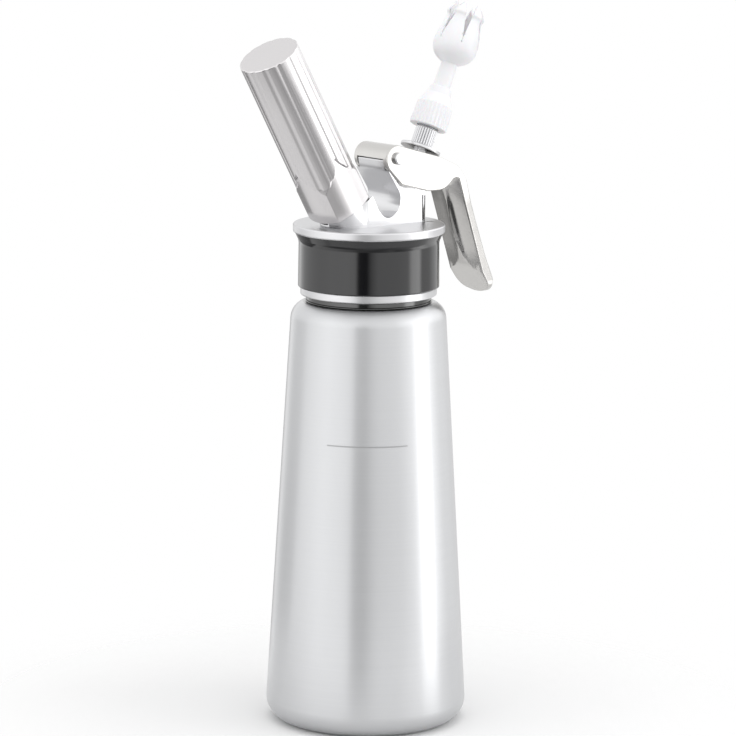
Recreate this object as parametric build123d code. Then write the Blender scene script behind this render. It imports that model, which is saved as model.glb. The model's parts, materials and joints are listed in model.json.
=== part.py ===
from build123d import *
import os
from math import cos, pi, radians, sin, tan

# Whipped cream dispenser, in millimetres. The origin is the centre of the base and +Z runs up the
# bottle. The lever and nozzle lean to +X, the charger holder leans to -X, and the lever pin lies
# along Y. The lever's travel is closed at rest and every screwed joint is fully home.

# Clearances
FIT = 0.05  # a turned piece in its own seat, all round
RUNNING = 0.04  # a pin or stem in the bore that it moves in, radial
THREAD_PLAY = 0.3  # thread ridges to the smooth bore that stands for the mating thread
SEAT_GAP = 0.3  # faces that come together when a joint is screwed home

# Bottle
BASE_RADIUS = 41.75  # the cone, carried on down to the base plane
SHOULDER_WIDTH = 6.0  # bead to the cone, where the cone is carried on up to the shoulder's top
SHOULDER_HEIGHT = 174.9
BASE_ROUND = 9.0
WALL = 1.2
FLOOR = 1.6
DISH_DEPTH = 1.8  # the base is dished inside its standing ring
DISH_SLANT = 4.0
STANDING_RING = 12.75  # cone to the inner edge of the ring that touches the table
BEAD_LEDGE = 2.5  # how far the mirror band under the head stands out from the neck
BEAD_HEIGHT = 2.7
NECK_RADIUS = 23.0
NECK_WALL = 1.4
NECK_HEIGHT = 23.8  # shoulder top to the rim that the gasket seals
NECK_RIDGE = 0.8  # height of the thread ridges
NECK_RIDGES = 4
NECK_PITCH = 3.4
NECK_FIRST_RIDGE = 6.6  # above the shoulder

# Head: plate, skirt and post
PLATE_OVERHANG = 0.7  # beyond the collar's flare
PLATE_THICKNESS = 3.5
PLATE_EDGE = 0.7
CEILING = 5.6  # plate top down to the ceiling of the skirt's bore
SKIRT_WALL = 2.3
SKIRT_GAP = 0.3  # bead to the skirt's lower end
GASKET_THICKNESS = 2.4
GASKET_WIDTH = 3.0
POST_HALF = 10.1  # half the post's width along Y
POST_LEFT = -7.8  # centre of the post's round end
POST_RIGHT = 24.0
POST_CORNER = 4.5
EAR_PLAY = 0.25  # each side of the ear, between the lever's cheeks

# Collar and trim ring, round the skirt
COLLAR_WALL = 2.3  # at the waist
COLLAR_DRAFT = 0.2  # the lower end is this much wider than the waist
COLLAR_FLARE = 1.65  # how far the top flares out
COLLAR_FLARE_HEIGHT = 3.6
COLLAR_HEIGHT = 22.4
TRIM_STEP = 0.8  # the ring is this much narrower than the waist
TRIM_HEIGHT = 3.2

# Lever and its pin
PIN_X = 6.36
PIN_HEIGHT = 26.96  # above the plate top
PIN_RADIUS = 2.0
PIN_HEAD_RADIUS = 2.6
PIN_HEAD_PROUD = 1.7
LEVER_HALF = 10.25
CHEEK = 2.2
WEB = 2.2
LEVER_END_RADIUS = 6.15
LEVER_ROUND = 0.7
LEVER_TRAVEL = 5.0  # degrees
HANDLE_RIDGE = ((35.84, -22.06), (45.04, -48.96))  # two points of the inner ridge, from the pin
HANDLE_CROWN = 1.5  # the ridge stands this proud of the edges
HANDLE_DROP = 61.16  # pin to the tip
HANDLE_CORNER = 5.5
LEVER_CLEARANCE = 0.3
WEB_RISE = 4.44  # pin to the highest line of the web's underside
WEB_START = 1.6  # where that line lies beyond the pin
WEB_RUN = 21.44  # length of the underside's slope
WEB_FALL = 20.23  # degrees
CLIP_THICKNESS = 0.7
CLIP_RADIUS = 4.0

# Valve. Stations are distances along its axis, from the plate top, outwards positive.
VALVE_X = 14.6  # where the axis meets the plate top
VALVE_TILT = 24.5  # degrees towards +X
STEM_RADIUS = 2.75
STEM_BORE = 1.4
STEM_THREAD = 7.0  # beyond the connector, inside the nozzle
STEM_TAIL = 0.45  # beyond the retainer
STEM_PLAY = 0.95  # in the lever's slot
PRESS_GAP = 0.66  # shoulder to the lever's web, along the axis
SHOULDER_THICKNESS = 1.8
SHOULDER_LEDGE = 2.65
GUIDE_WALL = 3.45  # the post's sleeve round the stem
VALVE_BOSS_WALL = 1.9  # under the plate, round the bush
VALVE_BOSS_END = -9.0
BUSH_WALL = 2.15
BUSH_LEDGE = 1.5
RING_SPACE = 0.9  # each way from the plate top, for the ring that wipes the stem
BUSH_FLANGE_THICKNESS = 2.4
PORT_RADIUS = 1.1
SEAL_THICKNESS = 1.7
SEAL_WIDTH = 2.45
RETAINER_WIDTH = 1.85
RETAINER_THICKNESS = 2.0
SPRING_WIRE = 0.9
SPRING_SPACE = 9.6  # guide to shoulder
SPRING_TURNS = 4
DISC_RADIUS = 8.4
DISC_THICKNESS = 1.5
DISC_ABOVE_SHOULDER = 4.0
CONNECTOR_WALL = 1.9
CONNECTOR_HEIGHT = 8.3
CONNECTOR_RIBS = 36
CONNECTOR_RIB_DEPTH = 0.3

# Nozzle, on the same axis
ADAPTOR_RADIUS = 7.9
ADAPTOR_DRAFT = 0.3
ADAPTOR_BARREL = 10.2
ADAPTOR_LENGTH = 17.4
ADAPTOR_RIBS = 28
ADAPTOR_RIB_DEPTH = 0.35
NOZZLE_SEAL_THICKNESS = 1.2
NECK_TUBE_RADIUS = 3.6
TULIP_LENGTH = 39.5
TULIP_RADIUS = 9.2
TULIP_WALL = 1.1
TULIP_PETALS = 6
TULIP_SLOT_START = 20.5  # from the tip's lower end
TULIP_SLOT_HALF = 3.0  # half the slot's width where the petals end

# Charger holder. Distances along its axis from its mouth, outwards positive.
HOLDER_TILT = 30.3  # degrees towards -X
HOLDER_INSET = 4.746  # the mouth's inner corner to the bottle's axis
HOLDER_LIFT = 0.941  # the mouth's outer corner above the plate top
HOLDER_WALL = 1.6  # over the thread, at the flat faces
HOLDER_FLUTES = 14
HOLDER_FLUTE_DEPTH = 1.05
HOLDER_RIDGE_RISE = 1.2  # flute ridges above the flat faces
HOLDER_CORNER_RISE = 1.65  # the four corners above the flat faces
HOLDER_CORNER_TOP = 15.0
HOLDER_CORNER_SLOPE = 2.3
HOLDER_END = 3.5
CUSHION_THICKNESS = 1.1
BOSS_STEP = 0.15  # the post's male thread stands this much outside the holder's bore
BOSS_LENGTH = 9.6
BOSS_RIDGE = 0.5
BOSS_RIDGES = 4
BOSS_PITCH = 2.0
BOSS_BORE = 5.4
SEAT_LEDGE = 0.55
SEAT_REACH = 12.0  # the seat's flat runs this far towards the lever

# Gas charger and the piercer
CHARGER_RADIUS = 8.9
CHARGER_PLAY = 0.4
CHARGER_LENGTH = 65.5
CHARGER_MOUTH = 4.35  # above the holder's mouth
CHARGER_NECK_RADIUS = 4.35
CHARGER_NECK_LENGTH = 7.5
CHARGER_SHOULDER = 8.5
CHARGER_WALL = 1.1
NEEDLE_RADIUS = 1.0
NEEDLE_REACH = 2.0  # into the charger's neck
CHARGER_SEAL_THICKNESS = 3.2
PIERCER_DEPTH = 6.0
PIERCER_STUB_RADIUS = 2.2
STUB_REACH = 0.6  # beyond each end of the sleeve
SLEEVE_THICKNESS = 1.2
SLEEVE_LENGTH = 4.6

# Values worked out from the ones above. Heights are above the base unless said otherwise.
BEAD_RADIUS = NECK_RADIUS + BEAD_LEDGE
SHOULDER_RADIUS = BEAD_RADIUS + SHOULDER_WIDTH
SHOULDER_ROUND = SHOULDER_WIDTH + 1.4
RIM_HEIGHT = SHOULDER_HEIGHT + NECK_HEIGHT
CEILING_HEIGHT = RIM_HEIGHT + GASKET_THICKNESS
PLATE_TOP = CEILING_HEIGHT + CEILING
PLATE_BOTTOM = PLATE_TOP - PLATE_THICKNESS
NECK_BORE = NECK_RADIUS - NECK_WALL

SKIRT_BORE = NECK_RADIUS + NECK_RIDGE + THREAD_PLAY
SKIRT_RADIUS = SKIRT_BORE + SKIRT_WALL
SKIRT_BOTTOM = SHOULDER_HEIGHT + BEAD_HEIGHT + SKIRT_GAP
COLLAR_WAIST_RADIUS = SKIRT_RADIUS + COLLAR_WALL
COLLAR_TOP_RADIUS = COLLAR_WAIST_RADIUS + COLLAR_FLARE
COLLAR_BOTTOM = PLATE_BOTTOM - COLLAR_HEIGHT
TRIM_BOTTOM = COLLAR_BOTTOM - TRIM_HEIGHT
PLATE_RADIUS = COLLAR_TOP_RADIUS + PLATE_OVERHANG

EAR_HALF = LEVER_HALF - CHEEK - EAR_PLAY
EAR_TOP_RADIUS = LEVER_END_RADIUS - WEB - LEVER_CLEARANCE - FIT

# The valve's axis meets the underside of the lever's web at web_station, measured from the plate top.
web_slope = tan(radians(WEB_FALL))
web_station = (PIN_HEIGHT + WEB_RISE + (PIN_X + WEB_START - VALVE_X) * web_slope) / (
    cos(radians(VALVE_TILT)) + sin(radians(VALVE_TILT)) * web_slope
)
SHOULDER_TOP = web_station - PRESS_GAP
GUIDE_TOP = SHOULDER_TOP - SHOULDER_THICKNESS - SPRING_SPACE
DISC_BOTTOM = SHOULDER_TOP + DISC_ABOVE_SHOULDER
CONNECTOR_BOTTOM = DISC_BOTTOM + DISC_THICKNESS
CONNECTOR_TOP = CONNECTOR_BOTTOM + CONNECTOR_HEIGHT
STEM_TOP = CONNECTOR_TOP + STEM_THREAD
SHOULDER_FLANGE = STEM_RADIUS + SHOULDER_LEDGE
BUSH_RADIUS = STEM_RADIUS + BUSH_WALL
BUSH_FLANGE = BUSH_RADIUS + BUSH_LEDGE
BUSH_BOTTOM = VALVE_BOSS_END - BUSH_FLANGE_THICKNESS
SEAL_TOP = BUSH_BOTTOM - FIT
RETAINER_TOP = SEAL_TOP - SEAL_THICKNESS
STEM_BOTTOM = RETAINER_TOP - RETAINER_THICKNESS - STEM_TAIL
CONNECTOR_RADIUS = STEM_RADIUS + CONNECTOR_WALL
SPRING_RADIUS = STEM_RADIUS + SPRING_WIRE / 2 + 0.7
ADAPTOR_BOTTOM = CONNECTOR_TOP + SEAT_GAP
TULIP_BOTTOM = ADAPTOR_BOTTOM + ADAPTOR_LENGTH

HOLDER_BORE = CHARGER_RADIUS + CHARGER_PLAY
HOLDER_LENGTH = CHARGER_MOUTH + CHARGER_LENGTH + FIT + CUSHION_THICKNESS + HOLDER_END
BOSS_RADIUS = HOLDER_BORE + BOSS_STEP
SEAT_RADIUS = BOSS_RADIUS + SEAT_LEDGE
HOLDER_FACE_RADIUS = BOSS_RADIUS + THREAD_PLAY + HOLDER_WALL
HOLDER_RIDGE_RADIUS = HOLDER_FACE_RADIUS + HOLDER_RIDGE_RISE
HOLDER_CORNER_RADIUS = HOLDER_FACE_RADIUS + HOLDER_CORNER_RISE
HOLDER_X = -HOLDER_INSET - HOLDER_CORNER_RADIUS * cos(radians(HOLDER_TILT))
HOLDER_HEIGHT = HOLDER_LIFT + HOLDER_CORNER_RADIUS * sin(radians(HOLDER_TILT))
PIERCER_TOP = CHARGER_MOUTH - CHARGER_SEAL_THICKNESS
SLEEVE_RADIUS = PIERCER_STUB_RADIUS + FIT + SLEEVE_THICKNESS
SLEEVE_TOP = (
    -(HOLDER_HEIGHT + CEILING) / cos(radians(HOLDER_TILT))
    - SLEEVE_RADIUS * tan(radians(HOLDER_TILT))
    - STUB_REACH
)
PIERCER_STUB_END = SLEEVE_TOP - SLEEVE_LENGTH - STUB_REACH

VALVE_PLANE = Plane(
    origin=(VALVE_X, 0, PLATE_TOP),
    x_dir=(cos(radians(VALVE_TILT)), 0, -sin(radians(VALVE_TILT))),
    z_dir=(sin(radians(VALVE_TILT)), 0, cos(radians(VALVE_TILT))),
)
HOLDER_PLANE = Plane(
    origin=(HOLDER_X, 0, PLATE_TOP + HOLDER_HEIGHT),
    x_dir=(cos(radians(HOLDER_TILT)), 0, sin(radians(HOLDER_TILT))),
    z_dir=(-sin(radians(HOLDER_TILT)), 0, cos(radians(HOLDER_TILT))),
)


def rounded(*corners):
    """The closed edges through corners in the XY plane, a corner (x, y, radius) being rounded."""
    points = [Vector(corner[0], corner[1]) for corner in corners]
    ends = []
    for index, corner in enumerate(corners):
        point, radius = points[index], corner[2] if len(corner) > 2 else 0
        if radius == 0:
            ends.append((point, point, point))
            continue
        back = (points[index - 1] - point).normalized()
        ahead = (points[(index + 1) % len(points)] - point).normalized()
        half = radians(back.get_angle(ahead)) / 2
        middle = (back + ahead).normalized()
        start = point + back * (radius / tan(half))
        crest = point + middle * (radius / sin(half) - radius)
        ends.append((start, crest, point + ahead * (radius / tan(half))))
    edges = []
    for index, (start, crest, end) in enumerate(ends):
        if (end - start).length > 0:
            edges.append(ThreePointArc(start, crest, end))
        following = ends[(index + 1) % len(ends)][0]
        if (following - end).length > 1e-6:
            edges.append(Line(end, following))
    return Curve() + edges


def outline(*corners):
    """A closed face in the XZ plane. A corner is (x, z), or (x, z, radius) where it is rounded."""
    return make_face(Plane.XZ * rounded(*corners))


def turned(*corners):
    """The solid that an outline sweeps about the Z axis."""
    return revolve(outline(*corners), Axis.Z)


def rod(radius, low, high):
    """A round bar along Z."""
    return turned((0, low), (radius, low), (radius, high), (0, high))


def tube(inner, outer, low, high):
    """A round tube along Z."""
    return turned((inner, low), (outer, low), (outer, high), (inner, high))


def slab(half_width, *corners):
    """An outline made solid across Y, to half_width each side."""
    return extrude(outline(*corners), amount=half_width, both=True)


def above_plate(*corners):
    """The corners with their heights measured from the plate top."""
    return [(corner[0], corner[1] + PLATE_TOP, *corner[2:]) for corner in corners]


def from_pin(*corners):
    """The corners with their places measured from the lever pin."""
    height = PLATE_TOP + PIN_HEIGHT
    return [(corner[0] + PIN_X, corner[1] + height, *corner[2:]) for corner in corners]


def pin_bar(radius, half_length):
    """A round bar along Y on the lever pin's axis."""
    bar = Rot(90, 0, 0) * Cylinder(radius, 2 * half_length)
    return Pos(PIN_X, 0, PLATE_TOP + PIN_HEIGHT) * bar


def on_valve(shape):
    return VALVE_PLANE.location * shape


def on_holder(shape):
    return HOLDER_PLANE.location * shape


def ribbed_bar(radius, depth, count, low, high):
    """A bar along Z with straight ribs of a V section."""
    points = []
    for index in range(2 * count):
        reach = radius if index % 2 == 0 else radius - depth
        angle = pi * index / count
        points.append((reach * cos(angle), reach * sin(angle)))
    face = make_face(Polyline(*points, close=True))
    return Pos(0, 0, low) * extrude(face, amount=high - low)


def bottle():
    """The spun and welded bottle: cone, shoulder, bead and threaded neck."""
    slope = (BASE_RADIUS - SHOULDER_RADIUS) / SHOULDER_HEIGHT
    ridges = []
    for index in range(NECK_RIDGES):
        middle = SHOULDER_HEIGHT + NECK_FIRST_RIDGE + index * NECK_PITCH
        ridges += [
            (NECK_RADIUS, middle - 0.45 * NECK_PITCH),
            (NECK_RADIUS + NECK_RIDGE, middle - 0.2 * NECK_PITCH),
            (NECK_RADIUS + NECK_RIDGE, middle + 0.2 * NECK_PITCH),
            (NECK_RADIUS, middle + 0.45 * NECK_PITCH),
        ]
    bead_top = SHOULDER_HEIGHT + BEAD_HEIGHT
    under_shoulder = SHOULDER_HEIGHT - WALL
    floor_top = DISH_DEPTH + FLOOR
    ring = BASE_RADIUS - STANDING_RING
    return turned(
        (0, DISH_DEPTH),
        (ring - DISH_SLANT, DISH_DEPTH),
        (ring, 0),
        (BASE_RADIUS, 0, BASE_ROUND),
        (SHOULDER_RADIUS, SHOULDER_HEIGHT, SHOULDER_ROUND),
        (BEAD_RADIUS - 1.6, SHOULDER_HEIGHT),
        (BEAD_RADIUS, SHOULDER_HEIGHT + 0.5),
        (BEAD_RADIUS, bead_top, 0.6),
        (NECK_RADIUS, bead_top),
        *ridges,
        (NECK_RADIUS, RIM_HEIGHT, 0.4),
        (NECK_BORE, RIM_HEIGHT, 0.4),
        (NECK_BORE, under_shoulder),
        (SHOULDER_RADIUS - WALL, under_shoulder, SHOULDER_ROUND - WALL),
        (BASE_RADIUS - WALL - slope * floor_top, floor_top, BASE_ROUND - WALL),
        (0, floor_top),
    )


def lever_cheek_outline():
    """The side view of the lever's two cheeks, head end to the start of the handle."""
    return from_pin(
        (-LEVER_END_RADIUS, LEVER_END_RADIUS + 1.0, LEVER_END_RADIUS - 0.4),
        (23.84, -1.26, 14),
        (33.24, -5.36, 8),
        (37.44, -10.36, 10),
        (41.59, -22.36),
        (38.04, -23.56),
        (33.64, -10.36, 2.0),
        (30.84, -10.56, 2.0),
        (26.04, -14.96, 9),
        (16.64, -14.76, 14),
        (2.24, -11.06, 1.6),
        (-5.36, -3.76, 6),
        (-LEVER_END_RADIUS, -1.2, 3),
    )


def post():
    """The solid post: scooped through along Y, with the seat for the charger holder at its left."""
    plan = extrude(
        make_face(
            rounded(
                (POST_RIGHT, -POST_HALF, POST_CORNER),
                (POST_RIGHT, POST_HALF, POST_CORNER),
                (POST_LEFT - POST_HALF, POST_HALF, POST_HALF),
                (POST_LEFT - POST_HALF, -POST_HALF, POST_HALF),
            )
        ),
        amount=40,
    )
    scoop = above_plate(
        (POST_RIGHT + 1, -1),
        (-30, -1),
        (-30, 17.5),
        (-9.6, 17.5),
        (-3.6, 6.4, 4.4),
        (1.2, 1.4, 5.0),
        (7.6, 6.0, 5.4),
        (8.4, 12.0, 6.0),
    )
    under_lever = from_pin(
        (-5.16, -4.36, 9.0),
        (-5.91, -0.36, 0.6),
        (-3.56, -0.36),
        (3.54, -4.96),
        (9.84, -11.16),
        (POST_RIGHT + 1 - PIN_X, -14.66),
    )
    side = slab(POST_HALF + 1, *scoop, *under_lever)
    return (Pos(0, 0, PLATE_TOP - 1) * plan) & side


def cheek_room():
    """The space that the lever's cheeks and web need over their travel."""
    pin_axis = Axis((PIN_X, 0, PLATE_TOP + PIN_HEIGHT), (0, 1, 0))
    grown = offset(outline(*lever_cheek_outline()), amount=LEVER_CLEARANCE)
    swept = extrude(grown, amount=LEVER_HALF + 1, both=True)
    room = swept
    for step in (0.5, 1.0):
        room += swept.rotate(pin_axis, step * LEVER_TRAVEL)
    return room - Pos(0, 0, PLATE_TOP) * Box(200, 2 * EAR_HALF, 120)


def ear():
    """The tongue between the cheeks that carries the lever pin."""
    body = from_pin(
        (-1.36, -5.96),
        (-EAR_TOP_RADIUS, -0.36),
        (EAR_TOP_RADIUS, 0),
        (9.84, -11.16),
        (7.64, -14.96),
        (3.64, -12.96),
    )
    return pin_bar(EAR_TOP_RADIUS, EAR_HALF) + slab(EAR_HALF, *body)


def plate_and_skirt():
    """The turned part of the head: plate, skirt and the bore over the bottle's neck."""
    return turned(
        (0, CEILING_HEIGHT),
        (SKIRT_BORE, CEILING_HEIGHT),
        (SKIRT_BORE, SKIRT_BOTTOM + 0.6),
        (SKIRT_BORE + 0.6, SKIRT_BOTTOM),
        (SKIRT_RADIUS, SKIRT_BOTTOM),
        (SKIRT_RADIUS, PLATE_BOTTOM),
        (PLATE_RADIUS, PLATE_BOTTOM, PLATE_EDGE),
        (PLATE_RADIUS, PLATE_TOP, PLATE_EDGE),
        (0, PLATE_TOP),
    )


def charger_boss():
    """The threaded boss that the holder screws onto, and the round seat under it."""
    ridges = []
    for index in range(BOSS_RIDGES):
        middle = 1.6 + index * BOSS_PITCH
        ridges += [
            (BOSS_RADIUS - BOSS_RIDGE, middle - 0.42 * BOSS_PITCH),
            (BOSS_RADIUS, middle - 0.16 * BOSS_PITCH),
            (BOSS_RADIUS, middle + 0.16 * BOSS_PITCH),
            (BOSS_RADIUS - BOSS_RIDGE, middle + 0.42 * BOSS_PITCH),
        ]
    return turned(
        (0, -PIERCER_DEPTH - 4),
        (SEAT_RADIUS, -PIERCER_DEPTH - 4),
        (SEAT_RADIUS, -SEAT_GAP),
        (BOSS_RADIUS - BOSS_RIDGE, -SEAT_GAP),
        *ridges,
        (BOSS_RADIUS - BOSS_RIDGE, BOSS_LENGTH),
        (0, BOSS_LENGTH),
    )


def head_body():
    """The head casting with its bores for the valve, the piercer and the lever pin."""
    over_plate = Pos(0, 0, PLATE_TOP - 1 + 60) * Box(200, 200, 120)
    under_plate = Pos(0, 0, CEILING_HEIGHT + 0.5 - 30) * Box(200, 200, 60)
    guide = on_valve(rod(STEM_RADIUS + GUIDE_WALL, -2, GUIDE_TOP)) & over_plate
    valve_boss = on_valve(rod(BUSH_RADIUS + VALVE_BOSS_WALL, VALVE_BOSS_END, 0)) & under_plate
    seat = on_holder(charger_boss()) & over_plate
    beyond_seat = on_holder(Pos(SEAT_REACH - 30, 0, 30 - SEAT_GAP) * Box(60, 80, 60))
    wide_post = post() - beyond_seat - cheek_room()
    spring_room = on_valve(rod(SHOULDER_FLANGE + 0.9, GUIDE_TOP, GUIDE_TOP + 30))
    solid = plate_and_skirt() + (wide_post + ear() - spring_room) + guide + valve_boss + seat
    solid -= on_valve(rod(STEM_RADIUS + RUNNING, -20, 40))
    solid -= on_valve(rod(BUSH_RADIUS + FIT, -20, RING_SPACE))
    solid -= on_holder(rod(BOSS_BORE, -PIERCER_DEPTH, 30))
    solid -= on_holder(rod(PIERCER_STUB_RADIUS + 2 * FIT, -40, 0))
    return solid - pin_bar(PIN_RADIUS + RUNNING, 30)


def grip_collar():
    """The gloss sleeve round the skirt, flared out under the plate."""
    return turned(
        (SKIRT_RADIUS + FIT, COLLAR_BOTTOM),
        (COLLAR_WAIST_RADIUS + COLLAR_DRAFT, COLLAR_BOTTOM, 0.5),
        (COLLAR_WAIST_RADIUS, PLATE_BOTTOM - COLLAR_FLARE_HEIGHT, 5.0),
        (COLLAR_TOP_RADIUS, PLATE_BOTTOM),
        (SKIRT_RADIUS + FIT, PLATE_BOTTOM),
    )


def trim_ring():
    """The ring pressed on the skirt to hold the sleeve up."""
    radius = COLLAR_WAIST_RADIUS - TRIM_STEP
    return turned(
        (SKIRT_RADIUS + FIT, TRIM_BOTTOM),
        (radius, TRIM_BOTTOM, 0.5),
        (radius, COLLAR_BOTTOM, 0.3),
        (SKIRT_RADIUS + FIT, COLLAR_BOTTOM),
    )


def head_gasket():
    outer = SKIRT_BORE - THREAD_PLAY
    return tube(outer - GASKET_WIDTH, outer, RIM_HEIGHT, CEILING_HEIGHT)


def ridge_roof():
    """A long roof shape: it leaves the handle's inner face with a ridge down its middle."""
    top, bottom = from_pin(*HANDLE_RIDGE)
    run = Plane(
        origin=(bottom[0], 0, bottom[1]),
        x_dir=(0, 1, 0),
        z_dir=(top[0] - bottom[0], 0, top[1] - bottom[1]),
    )
    half = LEVER_HALF + 1
    section = Polyline(
        (0, 0),
        (half, -HANDLE_CROWN * half / LEVER_HALF),
        (half, -40),
        (-half, -40),
        (-half, -HANDLE_CROWN * half / LEVER_HALF),
        close=True,
    )
    return run.location * extrude(make_face(section), amount=100, both=True)


def tongue_end():
    """The rounded end of the handle, seen along X."""
    low = PLATE_TOP + PIN_HEIGHT - HANDLE_DROP
    corners = rounded(
        (LEVER_HALF, low + 90),
        (-LEVER_HALF, low + 90),
        (-LEVER_HALF, low + 2.4, HANDLE_CORNER),
        (0, low, 18),
        (LEVER_HALF, low + 2.4, HANDLE_CORNER),
    )
    return Pos(10, 0, 0) * extrude(make_face(Plane.YZ * corners), amount=80)


def lever():
    """Cheeks, web and handle in one casting."""
    handle = slab(
        LEVER_HALF,
        *from_pin(
            (37.44, -10.36, 4),
            (43.74, -28.56, 30),
            (49.84, -44.76, 30),
            (54.24, -54.16, 10),
            (55.24, -HANDLE_DROP - 0.2, 0.5),
            (54.04, -HANDLE_DROP, 0.5),
            (45.94, -49.36, 12),
            (39.64, -33.56, 30),
            (33.84, -14.96),
            (33.64, -10.36),
        ),
    )
    web_end = WEB_START + WEB_RUN
    between_cheeks = from_pin(
        (-16.4, -7),
        (-16.4, -17),
        (28.24, -17),
        (28.24, -5.4, 3),
        (web_end, WEB_RISE - WEB_RUN * web_slope, 8),
        (WEB_START, WEB_RISE, 0.1),
        (0, WEB_RISE, 0.1),
        (0, -7),
    )
    solid = slab(LEVER_HALF, *lever_cheek_outline()) + (handle & ridge_roof() & tongue_end())
    inner_half = LEVER_HALF - CHEEK
    solid -= slab(inner_half, *between_cheeks)
    solid -= slab(inner_half, *from_pin((-16.4, 0), (-16.4, -22), (0, -22), (0, 0)))
    solid -= pin_bar(LEVER_END_RADIUS - WEB, inner_half)
    slot_width = 2 * (STEM_RADIUS + STEM_PLAY)
    slot = extrude(SlotOverall(slot_width + 2, slot_width), amount=30, both=True)
    solid -= on_valve(Pos(-0.6, 0, SHOULDER_TOP) * slot)
    sides = solid.faces().filter_by(Axis.Y).sort_by(Axis.Y)
    rims = sides[0].outer_wire().edges() + sides[-1].outer_wire().edges()
    return fillet(rims, LEVER_ROUND) - pin_bar(PIN_RADIUS + FIT, 30)


def lever_pin():
    """The pin, with its round head on the near side and a groove for the clip on the other."""
    groove = LEVER_HALF + FIT
    end = groove + CLIP_THICKNESS + 1.3
    body = turned(
        (0, -LEVER_HALF - PIN_HEAD_PROUD),
        (PIN_HEAD_RADIUS, -LEVER_HALF - PIN_HEAD_PROUD, 0.6),
        (PIN_HEAD_RADIUS, -LEVER_HALF - FIT),
        (PIN_RADIUS, -LEVER_HALF - FIT),
        (PIN_RADIUS, groove),
        (PIN_RADIUS - 0.5, groove),
        (PIN_RADIUS - 0.5, groove + CLIP_THICKNESS),
        (PIN_RADIUS, groove + CLIP_THICKNESS),
        (PIN_RADIUS, end, 0.4),
        (0, end),
    )
    return Pos(PIN_X, 0, PLATE_TOP + PIN_HEIGHT) * Rot(-90, 0, 0) * body


def pin_clip():
    """The spring clip in the pin's groove, open on one side."""
    low = LEVER_HALF + FIT + 0.02
    ring = tube(PIN_RADIUS - 0.5 + FIT, CLIP_RADIUS, low, low + CLIP_THICKNESS - 0.04)
    mouth = Pos(0, CLIP_RADIUS, low) * Box(2 * PIN_RADIUS - 1.4, 2 * CLIP_RADIUS, 4)
    return Pos(PIN_X, 0, PLATE_TOP + PIN_HEIGHT) * Rot(-90, 0, 0) * (ring - mouth)


def valve_stem():
    """The hollow stem: side port above the seal, shoulder for the lever, threaded upper end."""
    body = turned(
        (0, STEM_BOTTOM),
        (STEM_RADIUS, STEM_BOTTOM, 0.4),
        (STEM_RADIUS, SHOULDER_TOP - SHOULDER_THICKNESS),
        (SHOULDER_FLANGE, SHOULDER_TOP - SHOULDER_THICKNESS, 0.3),
        (SHOULDER_FLANGE, SHOULDER_TOP, 0.3),
        (STEM_RADIUS, SHOULDER_TOP),
        (STEM_RADIUS, STEM_TOP, 0.4),
        (0, STEM_TOP),
    )
    port_height = VALVE_BOSS_END - 1.0
    bore = rod(STEM_BORE, port_height - PORT_RADIUS, STEM_TOP + 1)
    port = Pos(0, 0, port_height) * Rot(90, 0, 0) * Cylinder(PORT_RADIUS, 20)
    return on_valve(body - bore - port)


def valve_bush():
    """The bush screwed into the head from below: it guides the stem and ends in the seal's seat."""
    recess = STEM_RADIUS + 1.2
    body = turned(
        (STEM_RADIUS + RUNNING, -RING_SPACE),
        (STEM_RADIUS + RUNNING, VALVE_BOSS_END + 0.4),
        (recess, VALVE_BOSS_END + 0.4),
        (recess, BUSH_BOTTOM),
        (recess + 0.9, BUSH_BOTTOM),
        (BUSH_FLANGE, BUSH_BOTTOM + 0.8),
        (BUSH_FLANGE, VALVE_BOSS_END),
        (BUSH_RADIUS, VALVE_BOSS_END),
        (BUSH_RADIUS, -RING_SPACE),
    )
    flats = RegularPolygon(BUSH_FLANGE * 0.93, 6, major_radius=False)
    hexagon = Pos(0, 0, BUSH_BOTTOM) * extrude(flats, amount=BUSH_FLANGE_THICKNESS)
    return on_valve(body & (hexagon + rod(BUSH_RADIUS, VALVE_BOSS_END, 0)))


def stem_seal_ring():
    """The ring that wipes the stem, held between the bush and the head."""
    high = RING_SPACE - FIT
    return on_valve(tube(STEM_RADIUS + RUNNING, BUSH_RADIUS - 0.4, -RING_SPACE, high))


def valve_seal():
    return on_valve(tube(STEM_RADIUS + FIT, STEM_RADIUS + SEAL_WIDTH, RETAINER_TOP, SEAL_TOP))


def seal_retainer():
    """The nut that holds the seal on the stem."""
    hexagon = RegularPolygon(STEM_RADIUS + RETAINER_WIDTH, 6)
    nut = Pos(0, 0, RETAINER_TOP) * extrude(hexagon, amount=-RETAINER_THICKNESS)
    return on_valve(nut - rod(STEM_RADIUS + FIT, -40, 0))


def valve_spring():
    """The spring between the head's valve guide and the stem's shoulder."""
    low = GUIDE_TOP + SPRING_WIRE / 2 + FIT
    high = SHOULDER_TOP - SHOULDER_THICKNESS - SPRING_WIRE / 2 - FIT
    path = Helix((high - low) / SPRING_TURNS, high - low, SPRING_RADIUS)
    section = Plane(origin=path @ 0, z_dir=path % 0) * Circle(SPRING_WIRE / 2)
    return on_valve(Pos(0, 0, low) * sweep(section, path=path, is_frenet=True))


def stem_disc():
    return on_valve(
        turned(
            (STEM_RADIUS + FIT, DISC_BOTTOM),
            (DISC_RADIUS, DISC_BOTTOM, 0.5),
            (DISC_RADIUS, CONNECTOR_BOTTOM, 0.4),
            (STEM_RADIUS + FIT, CONNECTOR_BOTTOM),
        )
    )


def knurled_connector():
    body = ribbed_bar(
        CONNECTOR_RADIUS, CONNECTOR_RIB_DEPTH, CONNECTOR_RIBS, CONNECTOR_BOTTOM, CONNECTOR_TOP
    )
    return on_valve(body - rod(STEM_RADIUS + FIT, CONNECTOR_BOTTOM - 1, CONNECTOR_TOP + 1))


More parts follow.
